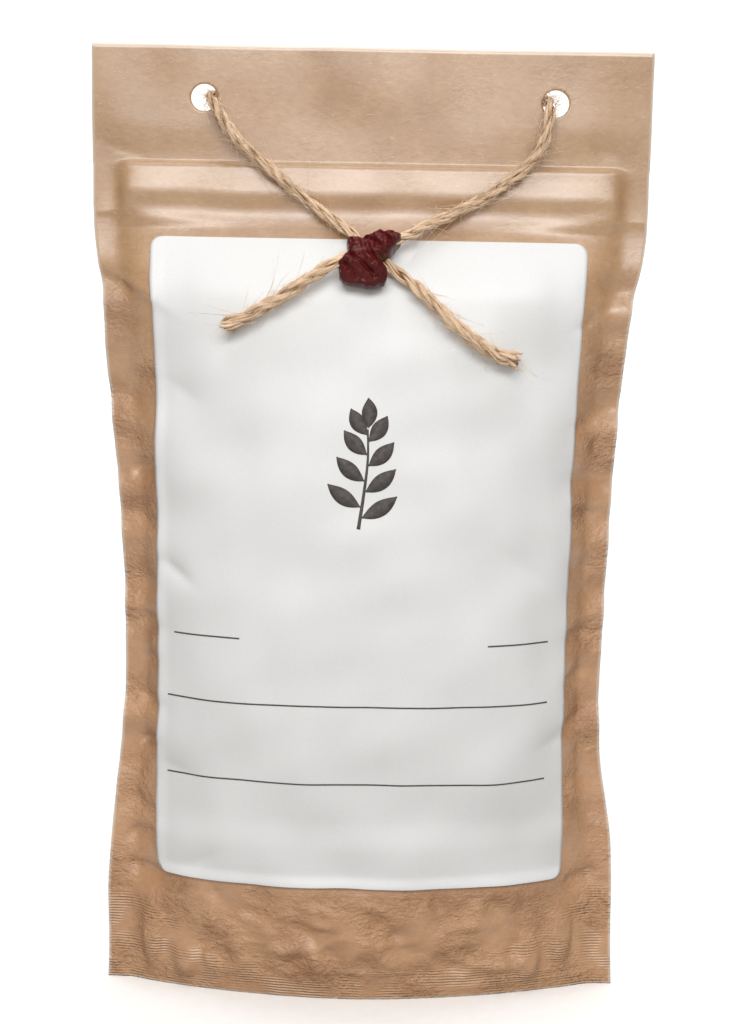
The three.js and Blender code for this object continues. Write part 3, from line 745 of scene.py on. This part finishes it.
def side_folds(s, z, folds, direction, seed):
    """Folds where a side wall buckles beside its seal: a valley at each height and a short crest above it."""
    rng = np.random.default_rng(seed)
    relief = 0 * s * z
    for height, depth in folds:
        at = (direction * rng.uniform(60.5, 63.0), height)
        lean = rng.uniform(-0.35, 0.1)
        relief = relief + valley(s, z, at, rng.uniform(8, 11), rng.uniform(2.0, 3.0), 1.7 * depth, lean)
        crest = (direction * rng.uniform(57.0, 61.0), height + rng.uniform(2.2, 3.6))
        relief = relief + crumple(
            s, z, crest, rng.uniform(1.5, 3.0), rng.uniform(1.6, 3.0), rng.uniform(0.5, 0.8),
            depth * rng.uniform(0.05, 0.16), direction * rng.uniform(-0.1, 0.4),
        )
    return relief


def both_folds(s, z, left, right, seed):
    """Folds beside the left and the right side seal, from their lists of heights and depths."""
    return side_folds(s, z, left, -1, seed) + side_folds(s, z, right, 1, seed + 1)


def free_folds(s, z, folds):
    """The share of the folds that is in the free film, and no deeper than half the film's depth."""
    return np.maximum(folds * (1 - in_seal(s)), -FOLD_LIMIT * film_depth(s, z))


def belly_swells(s, z, seed):
    """Slow swells where the cut roots press on the film above the base."""
    belly = between(8, 26, z) * (1 - between(165, 182, z))
    flat = 1 - smoothstep(50 * MM, OPEN_HALF, np.abs(s))
    swells = 0.3 * MM * ripples(s, z, 30, seed) + 0.1 * MM * ripples(s, z, 13, seed + 1)
    return belly * flat * swells


def scattered(s, z, box, count, seed, size, depth):
    """Short creases strewn over a stretch of film from s to s and from z to z, some in and some out."""
    rng = np.random.default_rng(seed)
    relief = 0 * s * z
    for _ in range(count):
        at = (rng.uniform(box[0], box[1]), rng.uniform(box[2], box[3]))
        spread = (size[0] * rng.uniform(0.5, 1.6), size[1] * rng.uniform(0.7, 1.5))
        relief = relief + dent(s, z, at, spread, depth * rng.uniform(-0.7, 1.0), rng.uniform(-0.5, 0.7))
    return relief


def base_lumps(s, z, seed):
    """Swells of the film over the cut roots below the label, with short creases strewn between them."""
    low = between(2, 9, z) * (1 - between(22, 30, z))
    flat = 1 - between(36, 44, np.abs(s))
    swells = 0.9 * np.abs(ripples(s, 1.3 * z, 24, seed)) - 0.7 * np.abs(ripples(s, 1.2 * z, 13, seed + 1))
    creases = scattered(s, z, (-40, 42, 6, 28), 46, seed + 2, (3.4, 1.3), 1.0)
    return low * flat * (MM * swells + creases)


def base_seals(s, z):
    """Oval seal pads near the bottom corners, a fold across the left corner and creases along the base."""
    pads = sum(disc(s, z, *row) for row in PADS)
    hems = sum(crumple(s, z, *row) for row in HEMS) * (1 + 0.5 * ripples(s, z, 18, 61))
    return PAD_HEIGHT * pads + crumple(s, z, *CORNER_FOLD) + hems


def front_smooth(s, z):
    """Relief of the front panel that its label takes up too, in metres along its normal."""
    relief = zip_relief(s, z) + belly_swells(s, z, 70) + sum(dent(s, z, *row) for row in FRONT_DENTS)
    return relief + sum(crumple(s, z, *row) for row in FRONT_CRUMPLES)


def front_folds(s, z):
    """Folds in the free film of the front panel."""
    return free_folds(s, z, both_folds(s, z, LEFT_FOLDS, RIGHT_FOLDS, FRONT_FOLD_SEED))


def front_relief(s, z):
    """Everything that stands out of or into the front panel."""
    return front_smooth(s, z) + front_folds(s, z) + base_lumps(s, z, 72) + base_seals(s, z)


def back_relief(s, z):
    """The same kinds of relief on the back panel, with other dents."""
    folds = free_folds(s, z, both_folds(s, z, RIGHT_FOLDS, LEFT_FOLDS, BACK_FOLD_SEED))
    relief = zip_relief(s, z) + belly_swells(s, z, 170) + base_lumps(s, z, 172) + base_seals(-s, z)
    return relief + folds + sum(dent(s, z, *row) for row in BACK_DENTS)


def graded(*stretches):
    """Places along a line, in metres, from stretches of (start, end, step) in millimetres."""
    runs = [np.linspace(a, b, max(int(round((b - a) / step)), 1), endpoint=False) for a, b, step in stretches]
    return MM * np.concatenate([*runs, [stretches[-1][1]]])


def grid_quads(rows, columns):
    """Quads between neighbouring points of a grid."""
    index = np.arange(rows * columns).reshape(rows, columns)
    return np.stack([index[:-1, :-1], index[:-1, 1:], index[1:, 1:], index[1:, :-1]], axis=-1)


def thin_sheet(outer, inner, keep=..., turned=False):
    """Closed sheet between two grids of points: both faces where keep is true, and walls on open edges."""
    rows, columns = outer.shape[:2]
    quads = grid_quads(rows, columns)[keep].reshape(-1, 4)
    if turned:
        quads = quads[:, ::-1]
    tail = quads.ravel()
    head = np.roll(quads, -1, axis=1).ravel()
    total = rows * columns
    alone = ~np.isin(tail * total + head, head * total + tail)
    walls = np.stack([head[alone], tail[alone], tail[alone] + total, head[alone] + total], axis=-1)
    faces = np.vstack([quads, quads[:, ::-1] + total, walls])
    used, faces = np.unique(faces, return_inverse=True)
    vertices = np.vstack([outer.reshape(-1, 3), inner.reshape(-1, 3)])[used]
    return vertices, faces.reshape(-1, 4), used


def punched(outer, inner):
    """Faces to keep round the header holes; the points along each hole's edge are pulled onto its circle."""
    middle = (outer[:-1, :-1] + outer[1:, 1:] + outer[:-1, 1:] + outer[1:, :-1]) / 4
    keep = np.ones(middle.shape[:2], dtype=bool)
    low, high = slice(0, -1), slice(1, None)
    for place in HOLE_PLACES:
        gone = np.hypot(middle[..., 0] - place, middle[..., 2] - HOLE_HEIGHT) < HOLE_RADIUS
        keep &= ~gone
        near = np.zeros(outer.shape[:2], dtype=int)
        for rows, columns in ((low, low), (low, high), (high, low), (high, high)):
            near[rows, columns] += gone
        edge = (near > 0) & (near < 4)
        for grid in (outer, inner):
            dx = grid[edge, 0] - place
            dz = grid[edge, 2] - HOLE_HEIGHT
            pull = HOLE_RADIUS / np.maximum(np.hypot(dx, dz), 1e-6)
            grid[edge, 0] = place + dx * pull
            grid[edge, 2] = HOLE_HEIGHT + dz * pull
    return keep


def seal_strength(s, z):
    """Where ribbed sealing bars press the paper: patches of up to 1 in the curved base seal, 0 above it."""
    t = np.minimum(np.abs(s) / OPEN_HALF, 1)
    line = 9 * MM + 18 * MM * t**3
    patchy = 0.35 + 0.7 * ripples(s, 1.6 * z, 11, 90)
    return np.clip(between(0, 3, line - z) * patchy, 0, 1)


def crumple_strength(s, z):
    """How finely creased the paper is: most below the label and beside the belly, least in the header."""
    low = 1 - between(24, 34, z)
    beside = between(46, 54, np.abs(s)) * (1 - between(150, 185, z))
    patchy = np.clip(0.6 + 0.5 * ripples(s, z, 16, 95), 0.1, 1.3)
    return patchy * np.maximum(np.maximum(low, 0.85 * beside), 0.08)


PANEL_COLUMNS = graded(
    (-65, -59, 0.75), (-59, -48, 0.7), (-48, -43, 1.1), (-43, -35, 0.42), (-35, 38.5, 1.0),
    (38.5, 46.5, 0.42), (46.5, 48, 1.1), (48, 59, 0.7), (59, 65, 0.75),
)
PANEL_ROWS = graded(
    (0, 32, 0.6), (32, 166, 1.0), (166, 186, 0.8), (186, 200, 0.42), (200, 210, 1.0), (210, 218, 0.42),
    (218, 226, 1.1),
)


def mark_sheet(piece, used, **marks):
    """Numbers stored by name on both faces of a thin sheet."""
    for name, values in marks.items():
        set_attribute(piece, name, np.tile(values.ravel(), 2)[used])


def panel_piece(name, side, relief):
    """One panel: the pouch's surface with its relief, as a thin closed sheet with punched holes."""
    z, s = np.meshgrid(PANEL_ROWS, PANEL_COLUMNS, indexing="ij")
    base = pouch_surface(s, z, side)
    normal = outward(s, z, side)
    lift = relief(s, z)[..., None]
    outer = base + normal * (lift + FILM)
    inner = base + normal * lift
    for grid in (outer, inner):
        grid[..., 2] = np.clip(grid[..., 2], 0, POUCH_HEIGHT)
    vertices, faces, used = thin_sheet(outer, inner, punched(outer, inner), turned=side > 0)
    piece = make_piece(name, vertices, faces)
    # the rim is painted pale in the kraft finish, as painted light on the edge walls
    rim = (np.abs(s) > POUCH_WIDTH / 2 - RIM) | (z < RIM) | (z > POUCH_HEIGHT - RIM)
    mark_sheet(piece, used, pressed=seal_strength(s, z), rim=rim, crumpled=crumple_strength(s, z))
    return piece


def kraft_finish():
    """Brown kraft paper: cloudy pulp, fine fibres, flecks, painted sheen by height and a cut edge painted
    pale.

    Where it is crumpled it has darker red-brown patches, creases and a duller face. The seals have ribs, and
    the pressed base seal is painted lighter, as painted light.
    """
    finish = Finish("kraft_paper", roughness=0.45, specular=1.0)
    height = finish.node("ShaderNodeSeparateXYZ", {0: finish.place()}).outputs["Z"]
    cloud = finish.noise(finish.place(), 55.0, 8.0, 0.68)
    fibre = finish.noise(finish.place((0.6, 0.8, 1.0)), 1000.0, 4.0, 0.65)
    fleck = finish.noise(finish.place((0.3, 1.0, 1.0)), 2400.0, 2.0, 0.5)
    pulp = finish.ramp(cloud, (0.32, (0.375, 0.196, 0.091)), (0.68, (0.495, 0.284, 0.151)))
    streak = finish.ramp(fibre, (0.32, (0.92, 0.90, 0.88)), (0.62, (1.04, 1.04, 1.04)))
    body = finish.mix(1.0, pulp, streak, blend="MULTIPLY")
    # painted sheen: toned by height, less red at the header for the glare on it, a shade warmer near the base
    up = finish.math("MULTIPLY", height, 1 / POUCH_HEIGHT)
    painted_sheen_by_height = finish.ramp(up, (0.1, (1.02, 1.0, 0.96)), (0.6, (0.98, 0.99, 1.0)), (0.85, (0.87, 0.95, 0.97)))
    body = finish.mix(1.0, body, painted_sheen_by_height, blend="MULTIPLY")
    crumpled = finish.attribute("crumpled")
    # darker red-brown patches, laid on most where the paper is crumpled
    patch = finish.noise(finish.place((1.0, 1.0, 1.2)), 100.0, 4.0, 0.6)
    red_brown_patch = finish.ramp(patch, (0.46, (1.02, 1.02, 1.03)), (0.64, (0.70, 0.58, 0.49)))
    red_brown_patch = finish.mix(1.0, body, red_brown_patch, blend="MULTIPLY")
    body = finish.mix(finish.math("MULTIPLY", crumpled, 0.8, clamp=True), body, red_brown_patch)
    dark = finish.math("LESS_THAN", fleck, 0.3)
    body = finish.mix(finish.math("MULTIPLY", dark, 0.35), body, (0.23, 0.13, 0.07))
    light = finish.math("GREATER_THAN", fleck, 0.705)
    body = finish.mix(finish.math("MULTIPLY", light, 0.3), body, (0.70, 0.54, 0.38))
    # painted light: the pressed base seal is painted lighter, for brightness the downward-leaning base lacks
    ribbed = finish.math("MULTIPLY", finish.attribute("pressed"), 0.3)
    body = finish.mix(ribbed, body, (0.60, 0.345, 0.175))
    # painted light: the outermost strip and cut edge are painted pale, lighter than the lamps leave them
    edge = finish.math("MULTIPLY", finish.attribute("rim"), 0.85)
    finish.colour(finish.mix(edge, body, (0.84, 0.75, 0.66)))
    for stretch, scale, rough, strength, depth in CREASES:
        crinkle = finish.noise(finish.place((stretch, 0.8, 1.0)), scale, 4.0, rough)
        crease = finish.math("ABSOLUTE", finish.math("SUBTRACT", crinkle, 0.5))
        finish.bump(finish.math("MULTIPLY", crease, crumpled), strength, depth)
    dull = finish.math("MULTIPLY_ADD", crumpled, 0.28, 0.35)
    finish.tree.links.new(dull, finish.shader.inputs["Roughness"])
    finish.bump(fibre, 0.22, 0.1 * MM)
    level = finish.math("ADD", height, finish.math("MULTIPLY", cloud, 1.2 * MM))
    wave = finish.math("SINE", finish.math("MULTIPLY", level, 2 * math.pi / SEAL_LINE_PITCH))
    finish.bump(finish.math("MULTIPLY", wave, finish.attribute("pressed")), 0.75, 0.18 * MM)
    return finish


kraft = kraft_finish()
front_panel = panel_piece("front_panel_paper", -1, front_relief)
back_panel = panel_piece("back_panel_paper", 1, back_relief)
for piece, node in ((front_panel, "pouch_front_panel"), (back_panel, "pouch_back_panel")):
    kraft.on(piece)
    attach(piece, "root")
    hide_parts(node)


# Label
# A white self-adhesive paper label with round corners, stuck on the front panel by hand, so it takes up the
# dents of the film under it. Its face is bare but for a plain printed sprig and ruled lines.
LABEL_WIDTH = 101.6 * MM
LABEL_BOTTOM, LABEL_TOP = 29.3 * MM, 181.8 * MM
LABEL_CORNER = 3 * MM
LABEL_LIFT, LABEL_THICKNESS = 0.08 * MM, 0.2 * MM
LABEL_LOOSE, LABEL_LOOSE_EDGE = 0.8 * MM, 3 * MM
LABEL_DIP = 0.3
LABEL_COLUMNS, LABEL_STEP, LABEL_CORNER_ROWS = 121, 0.8 * MM, 9


def label_half_width(z):
    """Half the label's width at a height, following a quarter circle near the top and bottom edges."""
    to_edge = np.clip(np.minimum(z - LABEL_BOTTOM, LABEL_TOP - z), 0, LABEL_CORNER)
    return LABEL_WIDTH / 2 - LABEL_CORNER + np.sqrt(LABEL_CORNER**2 - (LABEL_CORNER - to_edge) ** 2)


def label_surface(s, z, lift):
    """Points over the front panel, out along its normal by lift; the label bridges most of each side fold.

    It stands off a little more along its left and bottom edges.
    """
    folds = front_folds(s, z)
    relief = front_smooth(s, z) + np.maximum(folds, LABEL_DIP * folds)
    to_edge = np.minimum(s + LABEL_WIDTH / 2, z - LABEL_BOTTOM)
    loose = 1 - smoothstep(0, LABEL_LOOSE_EDGE, to_edge)
    stand = relief + FILM + lift + LABEL_LOOSE * loose
    return pouch_surface(s, z, -1) + outward(s, z, -1) * stand[..., None]


def label_piece():
    """The label as a thin closed sheet."""
    corner = LABEL_CORNER * (1 - np.cos(np.linspace(0, np.pi / 2, LABEL_CORNER_ROWS)))
    count = int((LABEL_TOP - LABEL_BOTTOM - 2 * LABEL_CORNER) / LABEL_STEP)
    straight = np.linspace(LABEL_BOTTOM + LABEL_CORNER, LABEL_TOP - LABEL_CORNER, count)
    rows = np.concatenate([LABEL_BOTTOM + corner[:-1], straight, LABEL_TOP - corner[-2::-1]])
    across = np.linspace(-1, 1, LABEL_COLUMNS)
    s = label_half_width(rows)[:, None] * across[None, :]
    z = rows[:, None] + 0 * s
    outer = label_surface(s, z, LABEL_LIFT + LABEL_THICKNESS)
    inner = label_surface(s, z, LABEL_LIFT)
    vertices, faces, _ = thin_sheet(outer, inner)
    return make_piece("label_paper", vertices, faces)


def label_finish():
    """White label paper: faint cloud and fibre, a soft satin face."""
    finish = Finish("label_paper", roughness=0.48, specular=0.5)
    cloud = finish.noise(finish.place(), 30.0, 4.0)
    tooth = finish.noise(finish.place(), 2600.0, 3.0)
    paper = finish.ramp(cloud, (0.3, (0.668, 0.674, 0.673)), (0.7, (0.718, 0.724, 0.723)))
    fibre = finish.ramp(tooth, (0.3, (0.645, 0.65, 0.649)), (0.7, (0.745, 0.75, 0.749)))
    finish.colour(finish.mix(0.35, paper, fibre))
    finish.bump(tooth, 0.1, 0.05 * MM)
    return finish


label = label_piece()
label_finish().on(label)
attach(label, "root")
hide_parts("label")


# Printed marks
# A thin film of dark ink on the label's face: a plain leafy sprig, two ruled lines almost right across and
# two short lines at the sides.
INK_LIFT, INK_THICKNESS = 0.05 * MM, 0.02 * MM
RULE_HALF_WIDTH, RULE_POINTS = 0.18, 95
RULES = (((-48, 74), (45, 74)), ((-48, 55), (45, 55)), ((-46, 89.4), (-29, 89.4)), ((29, 88.6), (45, 88.6)))
STEM = ((-1.6, 116), (-0.5, 124), (0.3, 132), (0.2, 139))
STEM_STEP, STEM_HALF_WIDTHS = 0.5, (0.42, 0.2)
LEAF_LENGTH, LEAF_HALF_WIDTH, LEAF_POINTS = 8.6, 1.8, 25
LEAVES = (
    (0.12, 0.55), (0.22, 2.55), (0.38, 0.65), (0.48, 2.45), (0.64, 0.75), (0.74, 2.35), (0.88, 0.95),
    (0.94, 2.15), (1.0, 1.57),
)


def ink_strip(points, half_width):
    """Thin closed strip on the label along (s, z) points in millimetres, with a half width at each."""
    along = unit(np.gradient(points, axis=0))
    sideways = np.stack([-along[:, 1], along[:, 0]], axis=-1)
    offset = half_width[:, None, None] * np.array([-1.0, 0.0, 1.0])[None, :, None]
    places = MM * (points[:, None] + offset * sideways[:, None])
    face = LABEL_LIFT + LABEL_THICKNESS + INK_LIFT
    top = label_surface(places[..., 0], places[..., 1], face + INK_THICKNESS)
    low = label_surface(places[..., 0], places[..., 1], face)
    return thin_sheet(top, low, turned=True)[:2]


def ink_strips():
    """Ruled lines of even width, a tapered stem, and leaves that swell as a half sine along their length."""
    strips = []
    for start, end in RULES:
        line = np.linspace(start, end, RULE_POINTS)
        strips.append(ink_strip(line, np.full(RULE_POINTS, RULE_HALF_WIDTH)))
    knots = np.array([(s, 0.0, z) for s, z in STEM])
    stem = smooth_curve(knots, STEM_STEP)[0][:, [0, 2]]
    strips.append(ink_strip(stem, np.linspace(*STEM_HALF_WIDTHS, len(stem))))
    for share, angle in LEAVES:
        run = np.linspace(0, 1, LEAF_POINTS)
        size = LEAF_LENGTH * (1.15 - 0.35 * share)
        turn = angle + 0.35 * (run - 0.5) * np.sign(math.pi / 2 - angle)
        steps = np.stack([np.cos(turn), np.sin(turn)], axis=-1) * size / (LEAF_POINTS - 1)
        line = stem[int(share * (len(stem) - 1))] + np.cumsum(steps, axis=0)
        strips.append(ink_strip(line, LEAF_HALF_WIDTH * np.sin(np.pi * np.clip(run, 0.02, 0.98)) ** 0.9))
    return strips


def ink_piece():
    """All the marks in one mesh."""
    vertices, faces, start = [], [], 0
    for points, quads in ink_strips():
        vertices.append(points)
        faces.append(quads + start)
        start += len(points)
    return make_piece("label_print", np.vstack(vertices), np.vstack(faces))


def ink_finish():
    """Dark warm grey ink, a little uneven."""
    finish = Finish("label_ink", roughness=0.6, specular=0.3)
    patch = finish.noise(finish.place(), 900.0, 3.0)
    finish.colour(finish.ramp(patch, (0.3, (0.045, 0.038, 0.036)), (0.75, (0.10, 0.088, 0.082))))
    return finish


label_print = ink_piece()
ink_finish().on(label_print)
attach(label_print, "root")


# Bottom gusset
# A folded sheet of the same kraft paper between the panels. It is welded inside both of them below a curved
# line that climbs to the side seals, and the fill presses its middle down flat on the surface.
GUSSET_SEAL = 6 * MM
GUSSET_RISE = 31 * MM
GUSSET_CURVE = 3
GUSSET_SAG, GUSSET_ARCH = 0.85, 1.42
GUSSET_GAP, GUSSET_WRINKLE, GUSSET_RIM = 0.12 * MM, 0.5 * MM, 0.2 * MM
GUSSET_COLUMNS = graded((-65, -59, 0.75), (-59, 0, 1.0), (0, 59, 1.0), (59, 65, 0.75))
GUSSET_UP, GUSSET_OVER = 12, 41


def gusset_surface():
    """Middle of the gusset's sheet, by columns: up inside the front panel, over, and down inside the back.

    Between the seals the sheet sags as a parabola, deep in the middle and arched at the side seals, and no
    lower than the surface that the pouch stands on.
    """
    s = GUSSET_COLUMNS[:, None]
    t = np.minimum(np.abs(s) / OPEN_HALF, 1)
    seal = GUSSET_SEAL + GUSSET_RISE * t**GUSSET_CURVE
    climb = np.linspace(0, 1, GUSSET_UP)[None, :]
    over = np.linspace(-1, 1, GUSSET_OVER)[None, 1:-1]
    s_up, z_up = np.broadcast_arrays(s, seal * climb)
    front, rear = (
        pouch_surface(s_up, z_up, side)
        + outward(s_up, z_up, side) * (relief(s_up, z_up) - GUSSET_GAP - FILM / 2)[..., None]
        for side, relief in ((-1, front_relief), (1, back_relief))
    )
    near, far = front[:, -1, None], rear[:, -1, None]
    half_gap = (far[..., 1] - near[..., 1]) / 2
    sag = half_gap * (GUSSET_SAG - GUSSET_ARCH * t**8)
    wrinkle = GUSSET_WRINKLE * ripples(s + 0 * over, 9 * MM * over + 0 * s, 13, 120)
    wrinkle = wrinkle * (1 - over**2) * (1 - t**4)
    height = np.maximum(seal - sag * (1 - over**2) + np.abs(wrinkle), FILM / 2)
    sheet = near + (far - near) * (over[..., None] + 1) / 2
    sheet[..., 2] = height
    return np.concatenate([front, sheet, rear[:, ::-1]], axis=1)


def gusset_piece():
    """The gusset as a thin closed sheet, with its seal ribs marked."""
    middle = gusset_surface()
    before = np.concatenate([middle[:, :1], middle[:, :-1]], axis=1) - middle
    after = np.concatenate([middle[:, 1:], middle[:, -1:]], axis=1) - middle
    along = unit(after) - unit(before)
    normal = unit(np.stack([0 * along[..., 0], -along[..., 2], along[..., 1]], axis=-1))
    upper = middle + normal * FILM / 2
    lower = middle - normal * FILM / 2
    for grid in (upper, lower):
        grid[..., 2] = np.maximum(grid[..., 2], 0)
    vertices, faces, used = thin_sheet(upper, lower)
    piece = make_piece("gusset_paper", vertices, faces)
    pressed = np.zeros(middle.shape[:2])
    pressed[:, :GUSSET_UP] = 1
    pressed[:, -GUSSET_UP:] = 1
    # the strip along the floor is marked as rim, and so painted pale as painted light
    mark_sheet(piece, used, pressed=pressed, rim=middle[..., 2] < GUSSET_RIM)
    return piece


gusset = gusset_piece()
kraft.on(gusset)
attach(gusset, "root")
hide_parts("bottom_gusset")


# Zip strips
# Two extruded strips of soft natural polyethylene, welded inside the panels, with a rib that snaps into a
# groove. They are hidden in the closed pouch and show only as a ridge under the paper.
def zip_finish():
    """Milky polyethylene with faint drawing lines along the strip."""
    finish = Finish("zip_plastic", roughness=0.4)
    lines = finish.noise(finish.place((0.05, 1.0, 1.0)), 2200.0, 2.0)
    finish.colour(finish.ramp(lines, (0.3, (0.74, 0.73, 0.70)), (0.7, (0.83, 0.82, 0.79))))
    finish.bump(lines, 0.2, 0.05 * MM)
    return finish


zip_plastic = zip_finish()
for node in ("zip_groove_strip", "zip_rib_strip"):
    zip_plastic.on(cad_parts[node])


# Root fill
# Dried root, cut small and packed loosely: yellow fibrous wood with scraps of brown bark. It is sealed in the
# pouch and can't be seen.
FILL_TOP, FILL_HEAP = 158 * MM, 9 * MM
FILL_LIFT, FILL_HALF = 3 * MM, 51 * MM
FILL_INSET, FILL_INSET_FROM = 2.2 * MM, 36 * MM
FILL_LUMPS = 1.2 * MM
FILL_COLUMNS, FILL_ROWS = 91, 141
FILL_SIDE_POWER, FILL_END_POWER = 10, 14
FILL_THINNEST, FILL_EDGE = 0.25 * MM, 0.05 * MM


def root_finish():
    """Yellow wood and brown bark in small cells, each cell with its own shade and relief that rises to its
    edge.
    """
    finish = Finish("cut_root", roughness=0.95, specular=0.2)
    place = finish.place((1.0, 1.0, 0.6))
    cells = finish.node("ShaderNodeTexVoronoi", {"Vector": place, "Scale": 190.0}, feature="F1")
    shade = finish.node("ShaderNodeSeparateColor", {0: cells.outputs["Color"]}).outputs[0]
    bark, pith = (0.16, 0.085, 0.035), (0.62, 0.45, 0.19)
    wood = finish.ramp(shade, (0.1, bark), (0.35, (0.42, 0.27, 0.1)), (0.9, pith))
    grain = finish.noise(place, 1400.0, 4.0)
    finish.colour(finish.mix(finish.math("MULTIPLY", grain, 0.5), wood, (0.25, 0.14, 0.06)))
    finish.bump(cells.outputs["Distance"], 0.6, 0.8 * MM)
    return finish


def fill_piece():
    """A lumpy heap between the panels, inset from them, and drawn together all round its edge.

    The front and back faces are the pouch's own surface, moved in by the inset and by random lumps, and
    scaled towards the middle plane near the edge by a flat-topped curve.
    """
    across, climb = np.meshgrid(np.linspace(-1, 1, FILL_COLUMNS), np.linspace(-1, 1, FILL_ROWS))
    s = FILL_HALF * across
    edge = 1 - across**2
    low = GUSSET_SEAL + GUSSET_RISE * np.abs(s / OPEN_HALF) ** GUSSET_CURVE + FILL_LIFT
    high = FILL_TOP + FILL_HEAP * edge
    z = low + (high - low) * (climb + 1) / 2
    rounding = np.sqrt((1 - np.abs(climb) ** FILL_END_POWER) * (1 - np.abs(across) ** FILL_SIDE_POWER))
    faces = []
    for side in (-1, 1):
        points = pouch_surface(s, z, side)
        lumps = FILL_LUMPS * (1 + ripples(s, z, 9, 200 + side)) / 2
        inset = FILL_INSET * (1 + smoothstep(FILL_INSET_FROM, FILL_HALF, np.abs(s))) + np.maximum(lumps, 0)
        depth = np.maximum(film_depth(s, z) - inset, FILL_THINNEST) * rounding
        points[..., 1] = side * np.maximum(depth, FILL_EDGE) + slack(s, z)
        faces.append(points)
    vertices, quads, _ = thin_sheet(*faces)
    return make_piece("cut_root_heap", vertices, quads)


fill = fill_piece()
root_finish().on(fill)
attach(fill, "root")
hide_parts("root_fill")


# Floor, light and background
# A pale paper sweep under and behind the pouch, which throws no light back on it. The main lamp is broad and
# high in front, three weaker ones fill in, one lights the sweep, and faint warm light comes from all round.
FLOOR_HALF = 1.6
SWEEP_FROM, SWEEP_RADIUS, SWEEP_HEIGHT, SWEEP_STEPS = 0.5, 0.5, 1.6, 24
WORLD_COLOUR, WORLD_STRENGTH = (1.0, 0.94, 0.87, 1.0), 0.29


def sweep_piece():
    """Flat floor that curves up behind through a quarter circle into an upright sheet."""
    bend = np.linspace(0, np.pi / 2, SWEEP_STEPS)
    y = np.concatenate([[-FLOOR_HALF], SWEEP_FROM + SWEEP_RADIUS * np.sin(bend), [SWEEP_FROM + SWEEP_RADIUS]])
    z = np.concatenate([[0.0], SWEEP_RADIUS * (1 - np.cos(bend)), [SWEEP_HEIGHT]])
    points = [(x, *place) for place in zip(y, z) for x in (-FLOOR_HALF, FLOOR_HALF)]
    return make_piece("paper_sweep", points, grid_quads(len(y), 2).reshape(-1, 4))


def sweep_finish():
    """White card with a faint tooth."""
    finish = Finish("sweep_card", roughness=0.9, specular=0.1)
    tooth = finish.noise(finish.place(), 300.0)
    finish.colour(finish.ramp(tooth, (0.3, (0.93, 0.93, 0.925)), (0.7, (0.96, 0.96, 0.955))))
    return finish


def lamp(name, place, target, size, power):
    """Oblong area lamp that faces a point."""
    data = bpy.data.lights.new(name, "AREA")
    data.shape = "RECTANGLE"
    data.size, data.size_y = size
    data.energy = power
    made = bpy.data.objects.new(name, data)
    made.location = place
    made.rotation_euler = (Vector(target) - Vector(place)).to_track_quat("-Z", "Y").to_euler()
    bpy.context.collection.objects.link(made)


sweep = sweep_piece()
sweep_finish().on(sweep)
sweep.visible_diffuse = False
lamp("lamp_above", (-0.07, -0.27, 0.86), (0.0, 0.0, 0.15), (0.26, 0.18), 0.75)
lamp("lamp_soft", (0.02, -0.85, 0.66), (0.0, 0.0, 0.17), (0.75, 0.3), 7.6)
lamp("lamp_front", (-0.08, -1.2, 0.32), (0.0, 0.0, 0.17), (0.7, 0.2), 2.1)
lamp("lamp_top", (0.0, -0.05, 1.3), (0.0, -0.02, 0.0), (1.0, 0.6), 3.0)
lamp("lamp_back", (0.0, 0.35, 1.3), (0.0, 0.95, 0.4), (1.6, 0.5), 13.5)
world = bpy.data.worlds.new("studio")
world.use_nodes = True
world.node_tree.nodes["Background"].inputs["Color"].default_value = WORLD_COLOUR
world.node_tree.nodes["Background"].inputs["Strength"].default_value = WORLD_STRENGTH
bpy.context.scene.world = world
bpy.context.scene.view_settings.view_transform = "Standard"
